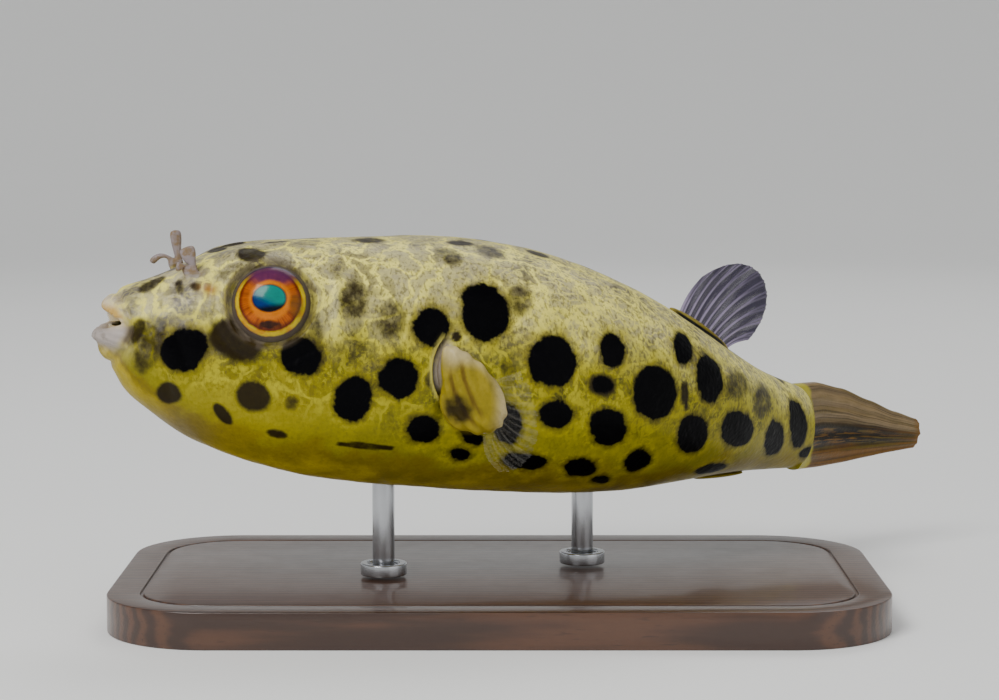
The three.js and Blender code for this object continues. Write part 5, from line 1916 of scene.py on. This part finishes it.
class PufferStage(bpy.types.PropertyGroup):
    """The floor, lights and camera."""

    floor: colour_of("Floor", (0.93, 0.93, 0.91), "Pale floor")
    radius: FloatProperty(name="Floor radius", description="Of the level floor", default=0.5, unit="LENGTH")
    wall: FloatProperty(
        name="Wall height", description="Of the floor's raised edge", default=0.35, unit="LENGTH"
    )
    key: FloatProperty(name="Key light", description="Power of the main light", default=2.7, unit="POWER")
    fill: FloatProperty(name="Fill light", description="Power of the fill light", default=0.55, unit="POWER")
    rim: FloatProperty(name="Back light", description="Power of the light behind", default=0.8, unit="POWER")
    sky: FloatProperty(name="Sky", description="Strength of the even light all round", default=0.31)
    focal_length: FloatProperty(
        name="Focal length", description="Of the camera, on a 36 mm sensor", default=97.3, unit="CAMERA"
    )


def settings():
    return bpy.context.scene.puffer_form, bpy.context.scene.puffer_colours


def placed(piece, material, slot, *nodes):
    """Gives a finished piece its finish, its body and the solids that it stands for. Its slot is not used."""
    piece.data.materials.clear()
    piece.data.materials.append(material)
    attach(piece, "root")
    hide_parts(*nodes)


# ---------- operators ----------


class PUFFER_OT_skin(bpy.types.Operator):
    """Model the puffer's skin, from the lips to the tail fin's root, with its markings"""

    bl_idname = "puffer.skin"
    bl_label = "Skin"

    def execute(self, context):
        form, colours = settings()
        skin = build_skin(form.skin_levels)
        placed(skin, skin_material(colours), "skin", *SKIN_NODES)
        return {"FINISHED"}


class PUFFER_OT_eyes(bpy.types.Operator):
    """Model both eyes"""

    bl_idname = "puffer.eyes"
    bl_label = "Eyes"

    def execute(self, context):
        material = eye_material(settings()[1])
        for name, side in SIDES.items():
            placed(build_eye(f"eyeball_{name}", side), material, "eye", f"eye_{name}")
        return {"FINISHED"}


class PUFFER_OT_teeth(bpy.types.Operator):
    """Model the two tooth plates between the lips"""

    bl_idname = "puffer.teeth"
    bl_label = "Teeth"

    def execute(self, context):
        material = tooth_material(settings()[1])
        for name, (low, high) in TOOTH_PLATES.items():
            placed(build_tooth(f"tooth_{name}", low, high), material, "tooth", f"{name}_tooth_plate")
        return {"FINISHED"}


class PUFFER_OT_midline_fins(bpy.types.Operator):
    """Model the back fin and the anal fin"""

    bl_idname = "puffer.midline_fins"
    bl_label = "Back and anal fins"

    def execute(self, context):
        form, colours = settings()
        material = web_material(
            "puffer_back_fin", colours.web, colours.ray, colours.web_streak, 0.8, 0.95, colours.lobe, 0.12
        )
        for name, fin, rays in (("dorsal", DORSAL, form.dorsal_rays), ("anal", ANAL, form.anal_rays)):
            surface = midline_surface(fin, rays)
            placed(build_blade(f"{name}_fin_blade", surface, rays), material, "fin", f"{name}_fin")
        return {"FINISHED"}


class PUFFER_OT_pectoral_fins(bpy.types.Operator):
    """Model the fin behind each gill"""

    bl_idname = "puffer.pectoral_fins"
    bl_label = "Side fins"

    def execute(self, context):
        form, colours = settings()
        material = web_material(
            "puffer_side_fin", colours.clear_web, colours.clear_ray, colours.clear_web, 0.02, 0.065,
            colours.lobe_edge, 0.08,
        )
        rays = form.pectoral_rays
        for name, side in SIDES.items():
            blade = build_blade(f"pectoral_blade_{name}", pectoral_surface(side, rays), rays)
            placed(blade, material, "fin", f"pectoral_fin_{name}")
        return {"FINISHED"}


class PUFFER_OT_tail_fin(bpy.types.Operator):
    """Model the closed tail fin"""

    bl_idname = "puffer.tail_fin"
    bl_label = "Tail fin"

    def execute(self, context):
        placed(build_tail_fin(), tail_material(settings()[1]), "tail_fin", "caudal_fin")
        return {"FINISHED"}


class PUFFER_OT_stand(bpy.types.Operator):
    """Model the display stand: base, two rods and their collars"""

    bl_idname = "puffer.stand"
    bl_label = "Stand"

    def execute(self, context):
        form, colours = settings()
        placed(build_base(), wood_material(colours), "base_wood", "stand_base")
        steel = steel_material(colours)
        for end in ("front", "rear"):
            rod = build_upright(f"rod_{end}", f"stand_rod_{end}", form.rod_edge)
            placed(rod, steel, "rod_steel", f"stand_rod_{end}")
            collar = build_upright(f"collar_{end}", f"stand_collar_{end}", form.collar_edge, 0.25 * MM)
            placed(collar, steel, "rod_steel", f"stand_collar_{end}")
        return {"FINISHED"}


class PUFFER_OT_stage(bpy.types.Operator):
    """Set up the pale floor, the soft lights and the camera"""

    bl_idname = "puffer.stage"
    bl_label = "Stage"

    def execute(self, context):
        stage = context.scene.puffer_stage
        build_floor(stage)
        build_lights(stage)
        build_camera(stage)
        return {"FINISHED"}


class PUFFER_PT_panel(bpy.types.Panel):
    """Lists the pieces, their sizes and their colours"""

    bl_idname = "PUFFER_PT_panel"
    bl_label = "Freshwater puffer"
    bl_space_type = "VIEW_3D"
    bl_region_type = "UI"
    bl_category = "Puffer"

    def draw(self, context):
        for operator in OPERATORS:
            self.layout.operator(operator.bl_idname)
        for group in (context.scene.puffer_form, context.scene.puffer_stage, context.scene.puffer_colours):
            box = self.layout.box()
            for name in group.__annotations__:
                box.prop(group, name)


# ---------- stage ----------


FLOOR_SIDES, FLOOR_STEPS = 96, 12
FLOOR_BEND = 0.8  # radius of the upward sweep, as a share of the edge's height


def build_floor(stage):
    """A level round floor whose edge sweeps up on every side."""
    deselect()
    bpy.ops.mesh.primitive_circle_add(vertices=FLOOR_SIDES, radius=stage.radius, fill_type="NGON")
    floor = finished("studio_floor")
    edit("EDGE")
    select_parts(floor, "edges", lambda edge: edge.is_boundary)
    bend = stage.wall * FLOOR_BEND
    for step in range(FLOOR_STEPS):
        angle, last = (math.pi / 2 * at / FLOOR_STEPS for at in (step + 1, step))
        radius, was = (stage.radius + bend * math.sin(a) for a in (angle, last))
        rise = bend * (math.cos(last) - math.cos(angle))
        bpy.ops.mesh.extrude_edges_move(TRANSFORM_OT_translate={"value": (0, 0, rise)})
        bpy.ops.transform.resize(value=(radius / was, radius / was, 1), center_override=(0, 0, 0))
    leave_edit()
    outward(floor)
    smooth_shaded(floor, 40)
    floor.data.materials.append(floor_material(stage.floor))


def build_lights(stage):
    """A large soft key from the front left, a fill from the right and a third light behind and above."""
    aim = Vector((0, 0, 0.026))
    for name, power, size, place in (
        ("key_light", stage.key, 0.24, (-0.22, -0.32, 0.42)),
        ("fill_light", stage.fill, 0.5, (0.42, -0.30, 0.20)),
        ("back_light", stage.rim, 0.3, (0.10, 0.34, 0.44)),
    ):
        bpy.ops.object.light_add(type="AREA", location=place)
        light = bpy.context.active_object
        light.name = name
        light.data.energy = power
        light.data.size = size
        light.rotation_euler = (aim - light.location).to_track_quat("-Z", "Y").to_euler()
    world = bpy.data.worlds.new("studio_sky")
    bpy.context.scene.world = world
    world.use_nodes = True
    sky = world.node_tree.nodes["Background"]
    sky.inputs["Color"].default_value = (0.95, 0.97, 1.0, 1)
    sky.inputs["Strength"].default_value = stage.sky


def build_camera(stage):
    bpy.ops.object.camera_add(location=VIEWPOINT * MM, rotation=(math.pi / 2 - VIEW_TILT, 0, 0))
    camera = bpy.context.active_object
    camera.name = "camera"
    camera.data.lens = stage.focal_length
    camera.data.sensor_width = 36
    camera.data.clip_start = 0.01
    bpy.context.scene.camera = camera


# ---------- registration ----------

SIDES = {"left": -1, "right": 1}
SKIN_NODES = (
    "head", "trunk", "belly", "tail_stalk", "upper_lip", "lower_lip", "dorsal_base", "anal_base",
    "nostril_feeler_left", "nostril_feeler_right", "pectoral_base_left", "pectoral_base_right",
)
GROUPS = {"puffer_colours": PufferColours, "puffer_form": PufferForm, "puffer_stage": PufferStage}
OPERATORS = (
    PUFFER_OT_skin,
    PUFFER_OT_eyes,
    PUFFER_OT_teeth,
    PUFFER_OT_midline_fins,
    PUFFER_OT_pectoral_fins,
    PUFFER_OT_tail_fin,
    PUFFER_OT_stand,
    PUFFER_OT_stage,
)


def register():
    for group in (*GROUPS.values(), *OPERATORS, PUFFER_PT_panel):
        bpy.utils.register_class(group)
    for name, group in GROUPS.items():
        setattr(bpy.types.Scene, name, PointerProperty(type=group))


def unregister():
    for name in GROUPS:
        delattr(bpy.types.Scene, name)
    for group in (PUFFER_PT_panel, *reversed(OPERATORS), *GROUPS.values()):
        bpy.utils.unregister_class(group)


def main():
    register()
    for operator in (
        bpy.ops.puffer.skin,
        bpy.ops.puffer.eyes,
        bpy.ops.puffer.teeth,
        bpy.ops.puffer.midline_fins,
        bpy.ops.puffer.pectoral_fins,
        bpy.ops.puffer.tail_fin,
        bpy.ops.puffer.stand,
        bpy.ops.puffer.stage,
    ):
        operator()


if __name__ == "__main__":
    main()
